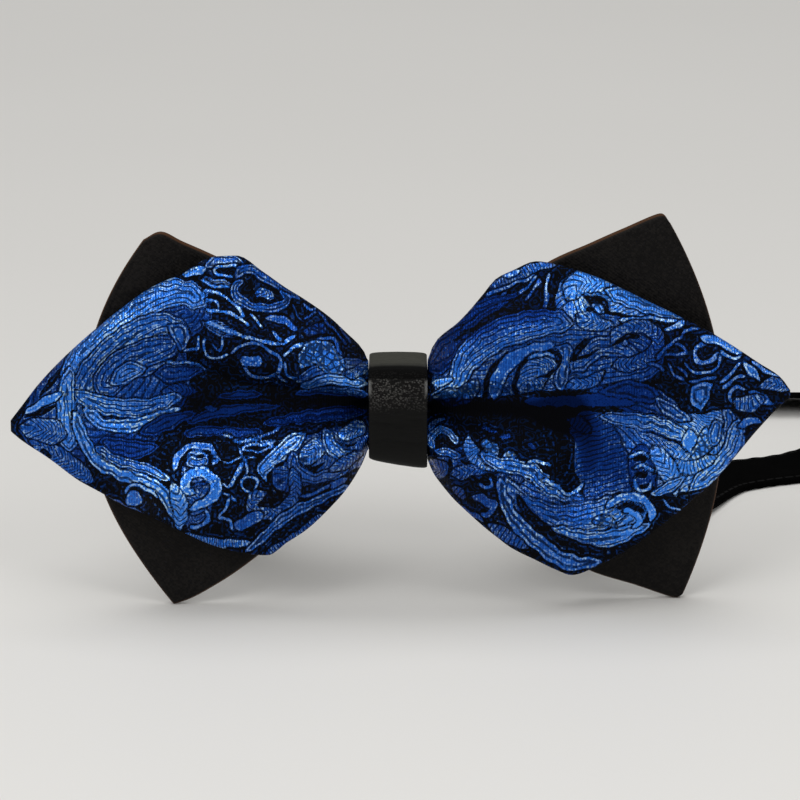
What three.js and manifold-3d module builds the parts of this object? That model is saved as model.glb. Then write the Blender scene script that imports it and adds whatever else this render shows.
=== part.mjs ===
// A bow tie with diamond-pointed front wings, standing on its two lower back points,
// with its neck ribbon laid in a loop behind it.
// Millimetres. +X is to the right seen from the front, +Y is towards the neck, +Z is up.
// The origin is the centre of the flat back face of the centre band.

import * as THREE from 'three';
import { mergeVertices } from 'three/addons/utils/BufferGeometryUtils.js';
import Module from 'manifold-3d';

// Driving dimensions of the centre band
const BAND_WIDTH = 9;
const BAND_HEIGHT = 14;
const BAND_WALL = 1.2;
const BAND_BOTTOM_SLANT = 1.5;
const BAND_CORNER_RADIUS = 1.8;
const BAND_EDGE_ROUND = 0.5;

// Driving dimensions of the patterned front layer
const LEFT_REACH = 60;
const LEFT_RISE = 24.2;
const LEFT_DROP = 24;
const RIGHT_REACH = 60.5;
const RIGHT_RISE = 23.3;
const RIGHT_DROP = 27.2;
const FRONT_CLOTH = 1.8;
const FOLD_HEIGHT = 5.6;
const KNOT_THICKNESS = 7.1;
const KNOT_FLARE = 0.3;

// Driving dimensions of the plain back layer
const BACK_LEFT_REACH = 48.5;
const BACK_LEFT_RISE = 27.2;
const BACK_RIGHT_REACH = 51.2;
const BACK_RIGHT_RISE = 30;
const BACK_CLOTH = 1.6;
const BACK_SWING = 2.5;
const BACK_PLEAT = 0.5;
const BACK_BULGE_RISE = 0.06;

// Driving dimensions of the neck ribbon and its clasp
const STRAP_WIDTH = 14.5;
const STRAP_THICKNESS = 1.2;
const KNOT_HEIGHT = 33.4;
const LOOP_ACROSS = 106;
const LOOP_AWAY = 108;
const CLASP_LENGTH = 22;
const CLASP_WIDTH = 20;
const CLASP_THICKNESS = 4.2;
const CLASP_SLOT_DEPTH = 8;
const CLASP_CORNER_RADIUS = 3;
const CLASP_RAMP = 16;

// Clearances
const FIT_GAP = 0.3;
const LAYER_GAP = 2.8;
const STRAIGHT_THROUGH_KNOT = 3;
const VALLEY_SHARE = 0.35;

// Mesh fineness
const FRONT_STATIONS = 19;
const FRONT_ACROSS = 22;
const BACK_STATIONS = 13;
const BACK_ACROSS = 14;
const STRAP_STATIONS = 90;
const BAND_CORNER_STEPS = 5;
const CLASP_CORNER_STEPS = 4;
const FOLD_SAMPLES = 12;
const SLOPE_STEP = 0.02;
const STEEPEST_THICKENING = 2;

// The layers lie one behind the other inside the band, from the neck to the front
const strapBackY = -(BAND_WALL + FIT_GAP);
const strapMiddleY = strapBackY - STRAP_THICKNESS / 2;
const backClothBackY = strapBackY - STRAP_THICKNESS - FIT_GAP;
const backClothFrontY = backClothBackY - BACK_CLOTH;
const knotBackY = backClothFrontY - FIT_GAP;
const knotFrontY = knotBackY - KNOT_THICKNESS;
const bandFrontY = knotFrontY - FIT_GAP - BAND_WALL;
const bandHalfWidth = BAND_WIDTH / 2;
const knotHalfWidth = bandHalfWidth + FIT_GAP;
const knotHalfHeight = (BAND_HEIGHT - BAND_BOTTOM_SLANT) / 2 - BAND_WALL - FIT_GAP;
const strapKnotWidth = 2 * knotHalfHeight - (BAND_CORNER_RADIUS - BAND_WALL);
const frontEdgeY = backClothFrontY - LAYER_GAP - FRONT_CLOTH;
const floorZ = -KNOT_HEIGHT;

// Outline of each front wing. along is a share of the wing's reach, top of its rise
// above the knot and bottom of its drop below it.
const LEFT_OUTLINE = [
  { along: 0.08, top: 0.34, bottom: 0.34 },
  { along: 0.12, top: 0.46, bottom: 0.5 },
  { along: 0.17, top: 0.59, bottom: 0.65 },
  { along: 0.24, top: 0.72, bottom: 0.82 },
  { along: 0.29, top: 0.8, bottom: 0.91 },
  { along: 0.34, top: 0.89, bottom: 0.995 },
  { along: 0.41, top: 1, bottom: 0.98 },
  { along: 0.47, top: 0.995, bottom: 0.94 },
  { along: 0.54, top: 0.9, bottom: 0.865 },
  { along: 0.63, top: 0.79, bottom: 0.75 },
  { along: 0.73, top: 0.61, bottom: 0.63 },
  { along: 0.82, top: 0.42, bottom: 0.495 },
  { along: 0.92, top: 0.175, bottom: 0.305 },
  { along: 0.975, top: 0, bottom: 0.205 },
  { along: 1, top: -0.08, bottom: 0.15 },
];
const RIGHT_OUTLINE = [
  { along: 0.075, top: 0.355, bottom: 0.36 },
  { along: 0.105, top: 0.47, bottom: 0.445 },
  { along: 0.16, top: 0.61, bottom: 0.575 },
  { along: 0.21, top: 0.76, bottom: 0.68 },
  { along: 0.25, top: 0.89, bottom: 0.76 },
  { along: 0.29, top: 0.94, bottom: 0.83 },
  { along: 0.35, top: 1, bottom: 0.9 },
  { along: 0.41, top: 0.975, bottom: 0.967 },
  { along: 0.45, top: 0.94, bottom: 1 },
  { along: 0.51, top: 0.885, bottom: 0.95 },
  { along: 0.61, top: 0.76, bottom: 0.825 },
  { along: 0.71, top: 0.635, bottom: 0.64 },
  { along: 0.82, top: 0.48, bottom: 0.41 },
  { along: 0.92, top: 0.31, bottom: 0.125 },
  { along: 0.975, top: 0.215, bottom: -0.02 },
  { along: 1, top: 0.13, bottom: -0.07 },
];

// Folds of each front wing: a row is a ridge (height above 0) or a valley (below 0) that
// runs from one place through a middle one to another. A place is a share of the reach and
// a share of the rise; height, at each end, is a share of FOLD_HEIGHT and width of the rise.
const LEFT_FOLDS = [
  { from: [0.08, 0.3], mid: [0.27, 0.42], to: [0.6, 0.7], height: [0.95, 0.55], width: [0.2, 0.3] },
  { from: [0.08, -0.2], mid: [0.27, -0.36], to: [0.6, -0.62], height: [0.9, 0.6], width: [0.2, 0.26] },
  { from: [0.06, 0.02], mid: [0.26, 0.05], to: [0.5, 0.02], height: [-0.75, -0.35], width: [0.09, 0.2] },
  { from: [0.55, 0.1], mid: [0.66, 0.05], to: [0.76, 0], height: [-0.25, -0.3], width: [0.3, 0.3] },
  { from: [0.74, 0.58], mid: [0.855, 0.05], to: [0.62, -0.48], height: [0.42, 0.42], width: [0.13, 0.15] },
  { from: [0.09, 0.4], mid: [0.13, 0.46], to: [0.18, 0.52], height: [-0.4, -0.1], width: [0.05, 0.05] },
];
const RIGHT_FOLDS = [
  { from: [0.08, 0.26], mid: [0.24, 0.44], to: [0.55, 0.72], height: [0.95, 0.5], width: [0.2, 0.32] },
  { from: [0.08, -0.24], mid: [0.24, -0.52], to: [0.45, -0.84], height: [0.9, 0.5], width: [0.22, 0.26] },
  { from: [0.06, 0.02], mid: [0.28, 0], to: [0.42, -0.04], height: [-0.75, -0.6], width: [0.09, 0.14] },
  { from: [0.42, -0.04], mid: [0.485, -0.26], to: [0.45, -0.62], height: [-0.6, -0.25], width: [0.14, 0.12] },
  { from: [0.5, 0.1], mid: [0.56, -0.06], to: [0.54, -0.4], height: [-0.3, -0.2], width: [0.25, 0.25] },
  { from: [0.68, 0.35], mid: [0.8, -0.06], to: [0.66, -0.5], height: [0.4, 0.35], width: [0.24, 0.24] },
  { from: [0.09, 0.42], mid: [0.13, 0.52], to: [0.19, 0.66], height: [-0.4, -0.15], width: [0.05, 0.05] },
];

// Sections of each back wing, from the band to its outer edge. topAt and lowAt are shares of
// the reach, top of the rise, low of the knot's height above the surface that the points
// stand on, bulge of the reach, and topSwing and lowSwing (towards the front) of BACK_SWING.
// BACK_BULGE_RISE moves the fullest part of the bulge a little towards the top.
const BACK_LEFT_SECTIONS = [
  { topAt: 0.165, top: 0.35, lowAt: 0.155, low: 0.3, bulge: 0.01, topSwing: 0, lowSwing: 0 },
  { topAt: 0.29, top: 0.535, lowAt: 0.25, low: 0.485, bulge: 0.04, topSwing: 0, lowSwing: 0 },
  { topAt: 0.435, top: 0.71, lowAt: 0.36, low: 0.635, bulge: 0.085, topSwing: 0.1, lowSwing: 0 },
  { topAt: 0.585, top: 0.86, lowAt: 0.465, low: 0.77, bulge: 0.14, topSwing: 0.2, lowSwing: 0.1 },
  { topAt: 0.68, top: 0.94, lowAt: 0.58, low: 0.89, bulge: 0.19, topSwing: 0.3, lowSwing: 0.2 },
  { topAt: 0.75, top: 1, lowAt: 0.685, low: 0.975, bulge: 0.23, topSwing: 0.4, lowSwing: 0.3 },
  { topAt: 0.805, top: 0.955, lowAt: 0.735, low: 1, bulge: 0.235, topSwing: 0.4, lowSwing: 0.3 },
];
const BACK_RIGHT_SECTIONS = [
  { topAt: 0.155, top: 0.32, lowAt: 0.155, low: 0.29, bulge: 0.01, topSwing: 0, lowSwing: 0 },
  { topAt: 0.295, top: 0.52, lowAt: 0.31, low: 0.51, bulge: 0.03, topSwing: 0, lowSwing: -0.1 },
  { topAt: 0.455, top: 0.745, lowAt: 0.46, low: 0.71, bulge: 0.055, topSwing: 0.1, lowSwing: -0.3 },
  { topAt: 0.575, top: 0.84, lowAt: 0.6, low: 0.855, bulge: 0.09, topSwing: 0.1, lowSwing: -0.5 },
  { topAt: 0.675, top: 0.92, lowAt: 0.735, low: 0.928, bulge: 0.12, topSwing: 0.2, lowSwing: -0.7 },
  { topAt: 0.785, top: 1, lowAt: 0.865, low: 1, bulge: 0.142, topSwing: 0.3, lowSwing: -0.9 },
  { topAt: 0.815, top: 0.95, lowAt: 0.888, low: 0.985, bulge: 0.145, topSwing: 0.3, lowSwing: -0.9 },
];

// Folds that run out from the knot over a back wing, up as a share of the section's height
const BACK_PLEATS = [
  { up: 0.45, height: 1 },
  { up: -0.35, height: 0.8 },
  { up: 0.05, height: -0.7 },
];

// Route of the ribbon on each side of the knot, from the knot to the clasp. across is a share
// of LOOP_ACROSS, away of LOOP_AWAY, lean the degrees by which the upper edge falls towards
// the inside of the loop, lift the share of the height from lying on the surface to hanging
// at the knot, and width a share of STRAP_WIDTH.
const RIGHT_ROUTE = [
  { across: 0.15, away: 0.02, lean: 10, lift: 0.92, width: 0.9 },
  { across: 0.3, away: 0.15, lean: 38, lift: 0.5, width: 1 },
  { across: 0.4, away: 0.3, lean: 62, lift: 0.12, width: 1 },
  { across: 0.461, away: 0.419, lean: 80, lift: 0.01, width: 1 },
  { across: 0.503, away: 0.498, lean: 88, lift: 0, width: 1 },
  { across: 0.541, away: 0.545, lean: 90, lift: 0, width: 1 },
  { across: 0.602, away: 0.58, lean: 90, lift: 0, width: 1 },
  { across: 0.652, away: 0.599, lean: 90, lift: 0, width: 1 },
  { across: 0.725, away: 0.622, lean: 86, lift: 0, width: 1 },
  { across: 0.86, away: 0.68, lean: 66, lift: 0, width: 1 },
  { across: 0.97, away: 0.79, lean: 46, lift: 0, width: 1 },
  { across: 0.985, away: 0.885, lean: 50, lift: 0, width: 1 },
  { across: 0.9, away: 0.965, lean: 66, lift: 0, width: 1 },
  { across: 0.79, away: 0.99, lean: 74, lift: 0, width: 1 },
  { across: 0.68, away: 0.994, lean: 74, lift: 0, width: 1 },
  { across: 0.4, away: 1, lean: 78, lift: 0, width: 1 },
  { across: 0.15, away: 1, lean: 90, lift: 0, width: 1 },
];
const LEFT_ROUTE = [
  { across: -0.14, away: 0.015, lean: 10, lift: 0.92, width: 0.9 },
  { across: -0.27, away: 0.15, lean: 32, lift: 0.5, width: 1 },
  { across: -0.385, away: 0.36, lean: 42, lift: 0.08, width: 1 },
  { across: -0.455, away: 0.58, lean: 40, lift: 0, width: 1 },
  { across: -0.465, away: 0.78, lean: 40, lift: 0, width: 1 },
  { across: -0.375, away: 0.93, lean: 55, lift: 0, width: 1 },
  { across: -0.25, away: 0.99, lean: 78, lift: 0, width: 1 },
  { across: -0.15, away: 1, lean: 90, lift: 0, width: 1 },
];

// Maths shared by the pieces

function mix(from, to, share) {
  return from + (to - from) * share;
}

function eased(from, to, value) {
  const share = Math.min(1, Math.max(0, (value - from) / (to - from)));
  return share * share * (3 - 2 * share);
}

// A smooth curve through the rows of a table that never swings past them
function curveThrough(places, values) {
  const last = places.length - 1;
  const rises = places.slice(1).map((place, i) => (values[i + 1] - values[i]) / (place - places[i]));
  const slopes = places.map((_, i) => {
    if (i === 0) return rises[0];
    if (i === last) return rises[last - 1];
    if (rises[i - 1] * rises[i] <= 0) return 0;
    return (2 * rises[i - 1] * rises[i]) / (rises[i - 1] + rises[i]);
  });
  return (place) => {
    let i = 0;
    while (i < last - 1 && place > places[i + 1]) i += 1;
    const span = places[i + 1] - places[i];
    const t = Math.min(1, Math.max(0, (place - places[i]) / span));
    const keep = (1 + 2 * t) * (1 - t) * (1 - t);
    const leave = t * (1 - t) * (1 - t) * span;
    const arrive = -t * t * (1 - t) * span;
    return keep * values[i] + (1 - keep) * values[i + 1] + leave * slopes[i] + arrive * slopes[i + 1];
  };
}

function column(rows, name) {
  return rows.map((row) => row[name]);
}

// A body from triangles, its shared corners merged and its faces turned outwards
function bodyGeometry(triangles) {
  let volume = 0;
  for (const [a, b, c] of triangles) volume += a.dot(b.clone().cross(c));
  const corners = volume > 0 ? triangles : triangles.map(([a, b, c]) => [a, c, b]);
  const geometry = new THREE.BufferGeometry().setFromPoints(corners.flat());
  const merged = mergeVertices(geometry, 1e-4);
  merged.computeVertexNormals();
  return merged;
}

function addQuad(triangles, a, b, c, d) {
  triangles.push([a, b, c], [a, c, d]);
}

// A closed sheet between two grids of points that face each other
function sheetGeometry(front, back) {
  const triangles = [];
  const rows = front.length;
  const columns = front[0].length;
  for (let i = 0; i < rows - 1; i += 1) {
    for (let j = 0; j < columns - 1; j += 1) {
      addQuad(triangles, front[i][j], front[i + 1][j], front[i + 1][j + 1], front[i][j + 1]);
      addQuad(triangles, back[i][j], back[i][j + 1], back[i + 1][j + 1], back[i + 1][j]);
    }
    const high = columns - 1;
    addQuad(triangles, front[i][0], back[i][0], back[i + 1][0], front[i + 1][0]);
    addQuad(triangles, front[i][high], front[i + 1][high], back[i + 1][high], back[i][high]);
  }
  for (let j = 0; j < columns - 1; j += 1) {
    const end = rows - 1;
    addQuad(triangles, front[0][j], front[0][j + 1], back[0][j + 1], back[0][j]);
    addQuad(triangles, front[end][j], back[end][j], back[end][j + 1], front[end][j + 1]);
  }
  return bodyGeometry(triangles);
}

// A closed body through rings of points, with flat ends
function loftGeometry(rings) {
  const triangles = [];
  const count = rings[0].length;
  for (let i = 0; i < rings.length - 1; i += 1) {
    for (let j = 0; j < count; j += 1) {
      const next = (j + 1) % count;
      addQuad(triangles, rings[i][j], rings[i + 1][j], rings[i + 1][next], rings[i][next]);
    }
  }
  const last = rings[rings.length - 1];
  for (let j = 1; j < count - 1; j += 1) {
    triangles.push([rings[0][0], rings[0][j], rings[0][j + 1]]);
    triangles.push([last[0], last[j + 1], last[j]]);
  }
  return bodyGeometry(triangles);
}

// Share of the full thickness that a hemmed edge keeps: it thins over the last few percent
function hemThinning(distanceShare) {
  return mix(0.5, 1, eased(0, 0.06, distanceShare));
}

// The patterned front layer

const LEFT_FRONT = {
  way: -1, reach: LEFT_REACH, rise: LEFT_RISE, drop: LEFT_DROP, outline: LEFT_OUTLINE, folds: LEFT_FOLDS,
};
const RIGHT_FRONT = {
  way: 1, reach: RIGHT_REACH, rise: RIGHT_RISE, drop: RIGHT_DROP, outline: RIGHT_OUTLINE, folds: RIGHT_FOLDS,
};

// How much one fold raises the cloth at a place of its wing
function foldAt(fold, along, up, side) {
  const toPoint = ([a, u]) => new THREE.Vector2(a * side.reach, u * side.rise);
  const start = toPoint(fold.from);
  const end = toPoint(fold.to);
  const bend = toPoint(fold.mid).multiplyScalar(2).sub(start.clone().add(end).multiplyScalar(0.5));
  const place = new THREE.Vector2(along * side.reach, up);
  const curve = new THREE.QuadraticBezierCurve(start, bend, end);
  let nearest = Infinity;
  let share = 0;
  for (let i = 0; i <= FOLD_SAMPLES; i += 1) {
    const distance = curve.getPoint(i / FOLD_SAMPLES).distanceTo(place);
    if (distance < nearest) {
      nearest = distance;
      share = i / FOLD_SAMPLES;
    }
  }
  const width = mix(fold.width[0], fold.width[1], share) * side.rise;
  const height = mix(fold.height[0], fold.height[1], share) * FOLD_HEIGHT;
  return height * Math.exp(-((nearest / width) ** 2));
}

// The front face of the cloth inside the knot: two pleats that touch the band's inner face
function knotFaceY(across) {
  const valleyY = knotBackY - FRONT_CLOTH - FIT_GAP;
  return mix(knotFrontY, valleyY, (1 + Math.cos(2 * Math.PI * across)) / 2);
}

// How far a place has left the knot: 0 inside the band, 1 out on the open wing
function leftKnot(side, along) {
  return eased(bandHalfWidth, 2 * bandHalfWidth, along * side.reach);
}

function frontFaceY(side, along, up, across) {
  const edgeFade = 1 - Math.abs(across) ** 5;
  let raised = 0;
  for (const fold of side.folds) raised += foldAt(fold, along, up, side);
  const deepest = -VALLEY_SHARE * LAYER_GAP;
  const wingY = frontEdgeY - Math.max(deepest, raised * edgeFade);
  return mix(knotFaceY(across), wingY, leftKnot(side, along));
}

// The furthest back that the cloth may reach, clear of the layer behind it
function frontRearLimit(side, along) {
  const forwardMost = Math.max(...BACK_LEFT_SECTIONS.map((row) => row.topSwing));
  const wingLimit = backClothFrontY - BACK_PLEAT - forwardMost * BACK_SWING - FIT_GAP;
  return mix(knotBackY, wingLimit, leftKnot(side, along));
}

// One line of points across a front wing, from its lower edge to its upper edge
function frontStation(side, along) {
  const inKnot = along * side.reach <= knotHalfWidth;
  const edge = (name) => curveThrough(column(side.outline, 'along'), column(side.outline, name))(along);
  const top = inKnot ? knotHalfHeight : edge('top') * side.rise;
  const bottom = inKnot ? knotHalfHeight : edge('bottom') * side.drop;
  const front = [];
  const back = [];
  for (let j = 0; j <= FRONT_ACROSS; j += 1) {
    const across = -Math.cos((Math.PI * j) / FRONT_ACROSS) * 0.45 + mix(-1, 1, j / FRONT_ACROSS) * 0.55;
    const up = mix(-bottom, top, (across + 1) / 2);
    const y = frontFaceY(side, along, up, across);
    const stepUp = (SLOPE_STEP * (top + bottom)) / 2;
    const slope = (frontFaceY(side, along, up + stepUp, across + SLOPE_STEP) - y) / stepUp;
    const slant = Math.min(STEEPEST_THICKENING, Math.hypot(1, slope));
    const thin = hemThinning(Math.min(1 - Math.abs(across), 1 - along));
    const x = side.way * along * side.reach;
    front.push(new THREE.Vector3(x, y, up));
    const rear = Math.min(y + FRONT_CLOTH * slant * thin, frontRearLimit(side, along));
    back.push(new THREE.Vector3(x, rear, up));
  }
  return { front, back };
}

function frontBowGeometry() {
  const wing = (side) => {
    const stations = [frontStation(side, knotHalfWidth / side.reach)];
    const flared = (knotHalfWidth + KNOT_FLARE) / side.reach;
    for (let i = 0; i <= FRONT_STATIONS; i += 1) {
      stations.push(frontStation(side, mix(flared, 1, (i / FRONT_STATIONS) ** 1.15)));
    }
    return stations;
  };
  const stations = [...wing(LEFT_FRONT).reverse(), frontStation(LEFT_FRONT, 0), ...wing(RIGHT_FRONT)];
  return sheetGeometry(stations.map((s) => s.front), stations.map((s) => s.back));
}

// The plain back layer

const LEFT_BACK = { way: -1, reach: BACK_LEFT_REACH, rise: BACK_LEFT_RISE, sections: BACK_LEFT_SECTIONS };
const RIGHT_BACK = { way: 1, reach: BACK_RIGHT_REACH, rise: BACK_RIGHT_RISE, sections: BACK_RIGHT_SECTIONS };

// Small folds of the back layer: none at the knot, most a little way out, then fading
function backPleatAt(across, outward) {
  let raised = 0;
  for (const pleat of BACK_PLEATS) raised += pleat.height * Math.exp(-(((across - pleat.up) / 0.16) ** 2));
  return raised * BACK_PLEAT * eased(0, 0.2, outward) * (1 - eased(0.35, 1, outward));
}

function backStation(side, outward) {
  const rootAlong = knotHalfWidth / side.reach;
  const root = {
    topAt: rootAlong, top: knotHalfHeight / side.rise, lowAt: rootAlong,
    low: knotHalfHeight / KNOT_HEIGHT, bulge: 0, topSwing: 0, lowSwing: 0,
  };
  const sections = [root, ...side.sections];
  const places = sections.map((_, i) => i / (sections.length - 1));
  const row = {};
  for (const name of Object.keys(root)) row[name] = curveThrough(places, column(sections, name))(outward);
  const front = [];
  const back = [];
  for (let j = 0; j <= BACK_ACROSS; j += 1) {
    const across = mix(-1, 1, j / BACK_ACROSS);
    const share = (across + 1) / 2;
    const bulge = row.bulge * (1 - across * across) * (1 + BACK_BULGE_RISE * across);
    const edge = mix(row.lowAt, row.topAt, share) + bulge;
    const x = side.way * edge * side.reach;
    const z = mix(-row.low * KNOT_HEIGHT, row.top * side.rise, share);
    const forward = mix(row.lowSwing, row.topSwing, share) * BACK_SWING;
    const y = backClothFrontY - forward - backPleatAt(across, outward);
    const thin = hemThinning(Math.min((1 - Math.abs(across)) / 2, (1 - outward) / 2));
    front.push(new THREE.Vector3(x, y, z));
    back.push(new THREE.Vector3(x, y + BACK_CLOTH * thin, z));
  }
  return { front, back };
}

function backBowGeometry() {
  const wing = (side) => {
    const stations = [];
    for (let i = 0; i <= BACK_STATIONS; i += 1) stations.push(backStation(side, i / BACK_STATIONS));
    return stations;
  };
  const stations = [...wing(LEFT_BACK).reverse(), ...wing(RIGHT_BACK)];
  return sheetGeometry(stations.map((s) => s.front), stations.map((s) => s.back));
}

// The centre band: a strap wrapped right round the knot, with a flat back face

// One ring of the band in the plane across the bow, drawn in by inset from its outer face
function bandRing(x, inset, radius) {
  const bottom = -BAND_HEIGHT / 2 - (BAND_BOTTOM_SLANT * x) / BAND_WIDTH + inset;
  const top = BAND_HEIGHT / 2 - inset;
  const back = -inset;
  const front = bandFrontY + inset;
  const centres = [
    { y: back - radius, z: top - radius, turn: 0 },
    { y: front + radius, z: top - radius, turn: 1 },
    { y: front + radius, z: bottom + radius, turn: 2 },
    { y: back - radius, z: bottom + radius, turn: 3 },
  ];
  const ring = [];
  for (const centre of centres) {
    for (let i = 0; i <= BAND_CORNER_STEPS; i += 1) {
      const angle = ((centre.turn + i / BAND_CORNER_STEPS) * Math.PI) / 2;
      ring.push(new THREE.Vector3(
        x, centre.y + radius * Math.cos(angle), centre.z + radius * Math.sin(angle),
      ));
    }
  }
  return ring;
}

function bandGeometry() {
  const innerRadius = BAND_CORNER_RADIUS - BAND_WALL;
  const flatHalfWidth = bandHalfWidth - BAND_EDGE_ROUND;
  const places = [-bandHalfWidth, -flatHalfWidth, flatHalfWidth, bandHalfWidth];
  const outer = places.map((x, i) => {
    const atEdge = i === 0 || i === places.length - 1;
    const inset = atEdge ? BAND_EDGE_ROUND : 0;
    return bandRing(x, inset, BAND_CORNER_RADIUS - inset);
  });
  const inner = places.map((x) => bandRing(x, BAND_WALL, innerRadius));
  const triangles = [];
  const count = outer[0].length;
  const last = places.length - 1;
  for (let j = 0; j < count; j += 1) {
    const next = (j + 1) % count;
    for (let i = 0; i < last; i += 1) {
      addQuad(triangles, outer[i][j], outer[i + 1][j], outer[i + 1][next], outer[i][next]);
      addQuad(triangles, inner[i][j], inner[i][next], inner[i + 1][next], inner[i + 1][j]);
    }
    addQuad(triangles, outer[0][j], outer[0][next], inner[0][next], inner[0][j]);
    addQuad(triangles, outer[last][j], inner[last][j], inner[last][next], outer[last][next]);
  }
  return bodyGeometry(triangles);
}

// The neck ribbon

// The whole route: out of the clasp, round the right side, straight through the knot, and
// round the left side into the clasp again
function strapRoute() {
  const claspEnd = (way) => ({
    across: (way * (CLASP_LENGTH / 2 - CLASP_SLOT_DEPTH + FIT_GAP)) / LOOP_ACROSS,
    away: 1, lean: 90, lift: 0, width: 1,
  });
  const inKnot = (x) => ({
    across: x / LOOP_ACROSS, away: strapMiddleY / LOOP_AWAY, lean: 0, lift: 1,
    width: strapKnotWidth / STRAP_WIDTH,
  });
  const outside = knotHalfWidth + STRAIGHT_THROUGH_KNOT;
  return [
    claspEnd(1), ...[...RIGHT_ROUTE].reverse(),
    inKnot(outside), inKnot(knotHalfWidth), inKnot(-knotHalfWidth), inKnot(-outside),
    ...LEFT_ROUTE, claspEnd(-1),
  ];
}

// Where the ribbon is, which way its width points and how wide it is, at a share of its route
function strapFrame(route, plan, share) {
  const places = route.map((_, i) => i / (route.length - 1));
  const read = (name) => curveThrough(places, column(route, name))(share);
  const centre = plan.getPoint(share);
  const tangent = plan.getTangent(share);
  const lean = THREE.MathUtils.degToRad(read('lean'));
  const inward = new THREE.Vector3(tangent.y, -tangent.x, 0);
  const wide = new THREE.Vector3(0, 0, Math.cos(lean)).addScaledVector(inward, Math.sin(lean));
  const thick = tangent.clone().cross(wide).normalize();
  const width = read('width') * STRAP_WIDTH;
  const fromClasp = Math.hypot(centre.x, centre.y - LOOP_AWAY) - CLASP_LENGTH / 2;
  const onClasp = (1 - eased(0, CLASP_RAMP, fromClasp)) * (CLASP_THICKNESS - STRAP_THICKNESS) / 2;
  const lying = (width * Math.abs(wide.z) + STRAP_THICKNESS * Math.abs(thick.z)) / 2;
  centre.z = mix(floorZ + lying + onClasp, 0, read('lift'));
  return { centre, wide, thick, width };
}

function strapGeometry() {
  const route = strapRoute();
  const toPlan = (row) => new THREE.Vector3(row.across * LOOP_ACROSS, row.away * LOOP_AWAY, 0);
  const plan = new THREE.CatmullRomCurve3(route.map(toPlan), false, 'centripetal');
  const rings = [];
  for (let i = 0; i <= STRAP_STATIONS; i += 1) {
    const { centre, wide, thick, width } = strapFrame(route, plan, i / STRAP_STATIONS);
    const corner = (w, t) => centre.clone()
      .addScaledVector(wide, (w * width) / 2)
      .addScaledVector(thick, (t * STRAP_THICKNESS) / 2);
    rings.push([corner(-1, -1), corner(1, -1), corner(1, 1), corner(-1, 1)]);
  }
  return loftGeometry(rings);
}

// The clasp: a flat block with a slot at each end for the ribbon

async function claspGeometry() {
  const wasm = await Module();
  wasm.setup();
  const toSolid = (geometry) => {
    geometry.deleteAttribute('normal');
    geometry.deleteAttribute('uv');
    const merged = mergeVertices(geometry, 1e-4);
    return new wasm.Manifold(new wasm.Mesh({
      numProp: 3,
      vertProperties: new Float32Array(merged.attributes.position.array),
      triVerts: new Uint32Array(merged.index.array),
    }));
  };
  const halfLength = CLASP_LENGTH / 2;
  const halfWidth = CLASP_WIDTH / 2;
  const outline = new THREE.Shape();
  const corners = [[1, 1, 0], [-1, 1, 1], [-1, -1, 2], [1, -1, 3]];
  for (const [alongWay, acrossWay, turn] of corners) {
    outline.absarc(
      alongWay * (halfLength - CLASP_CORNER_RADIUS), acrossWay * (halfWidth - CLASP_CORNER_RADIUS),
      CLASP_CORNER_RADIUS, (turn * Math.PI) / 2, ((turn + 1) * Math.PI) / 2, false,
    );
  }
  const block = new THREE.ExtrudeGeometry(outline, {
    depth: CLASP_THICKNESS, bevelEnabled: false, curveSegments: CLASP_CORNER_STEPS,
  });
  let clasp = toSolid(block);
  for (const way of [-1, 1]) {
    const overrun = FIT_GAP + 1;
    const slot = new THREE.BoxGeometry(
      CLASP_SLOT_DEPTH + overrun, STRAP_WIDTH + 2 * FIT_GAP, STRAP_THICKNESS + 2 * FIT_GAP,
    );
    slot.translate(way * (halfLength + (overrun - CLASP_SLOT_DEPTH) / 2), 0, CLASP_THICKNESS / 2);
    clasp = clasp.subtract(toSolid(slot));
  }
  const mesh = clasp.getMesh();
  const geometry = new THREE.BufferGeometry();
  geometry.setAttribute('position', new THREE.BufferAttribute(new Float32Array(mesh.vertProperties), 3));
  geometry.setIndex(new THREE.BufferAttribute(new Uint32Array(mesh.triVerts), 1));
  geometry.computeVertexNormals();
  return geometry;
}

// Finishes
const finishes = {
  brocade: new THREE.MeshStandardMaterial({ color: 0x2f55a4, roughness: 0.4, metalness: 0.45 }),
  satin: new THREE.MeshStandardMaterial({ color: 0x141316, roughness: 0.55, metalness: 0 }),
  grained: new THREE.MeshStandardMaterial({ color: 0x1b1a1b, roughness: 0.42, metalness: 0 }),
  moulded: new THREE.MeshStandardMaterial({ color: 0x101012, roughness: 0.35, metalness: 0 }),
};

function piece(name, geometry, material) {
  const mesh = new THREE.Mesh(geometry, material);
  mesh.name = name;
  return mesh;
}

const clasp = piece('strap_clasp', await claspGeometry(), finishes.moulded);
clasp.position.set(0, LOOP_AWAY, floorZ);

const bowTie = new THREE.Group();
bowTie.add(piece('front_bow', frontBowGeometry(), finishes.brocade));
bowTie.add(piece('back_bow', backBowGeometry(), finishes.satin));
bowTie.add(piece('centre_band', bandGeometry(), finishes.grained));
bowTie.add(piece('neck_strap', strapGeometry(), finishes.satin));
bowTie.add(clasp);

export default bowTie;
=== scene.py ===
"""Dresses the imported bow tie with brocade, satin, grained leather and light.

Everything is in metres, in the frame of the CAD model: +X to the right, +Y towards the neck, +Z up.
The tables are in millimetres, in shares of a size, or in pixels of the photograph where they say so.
"""
import math

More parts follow.
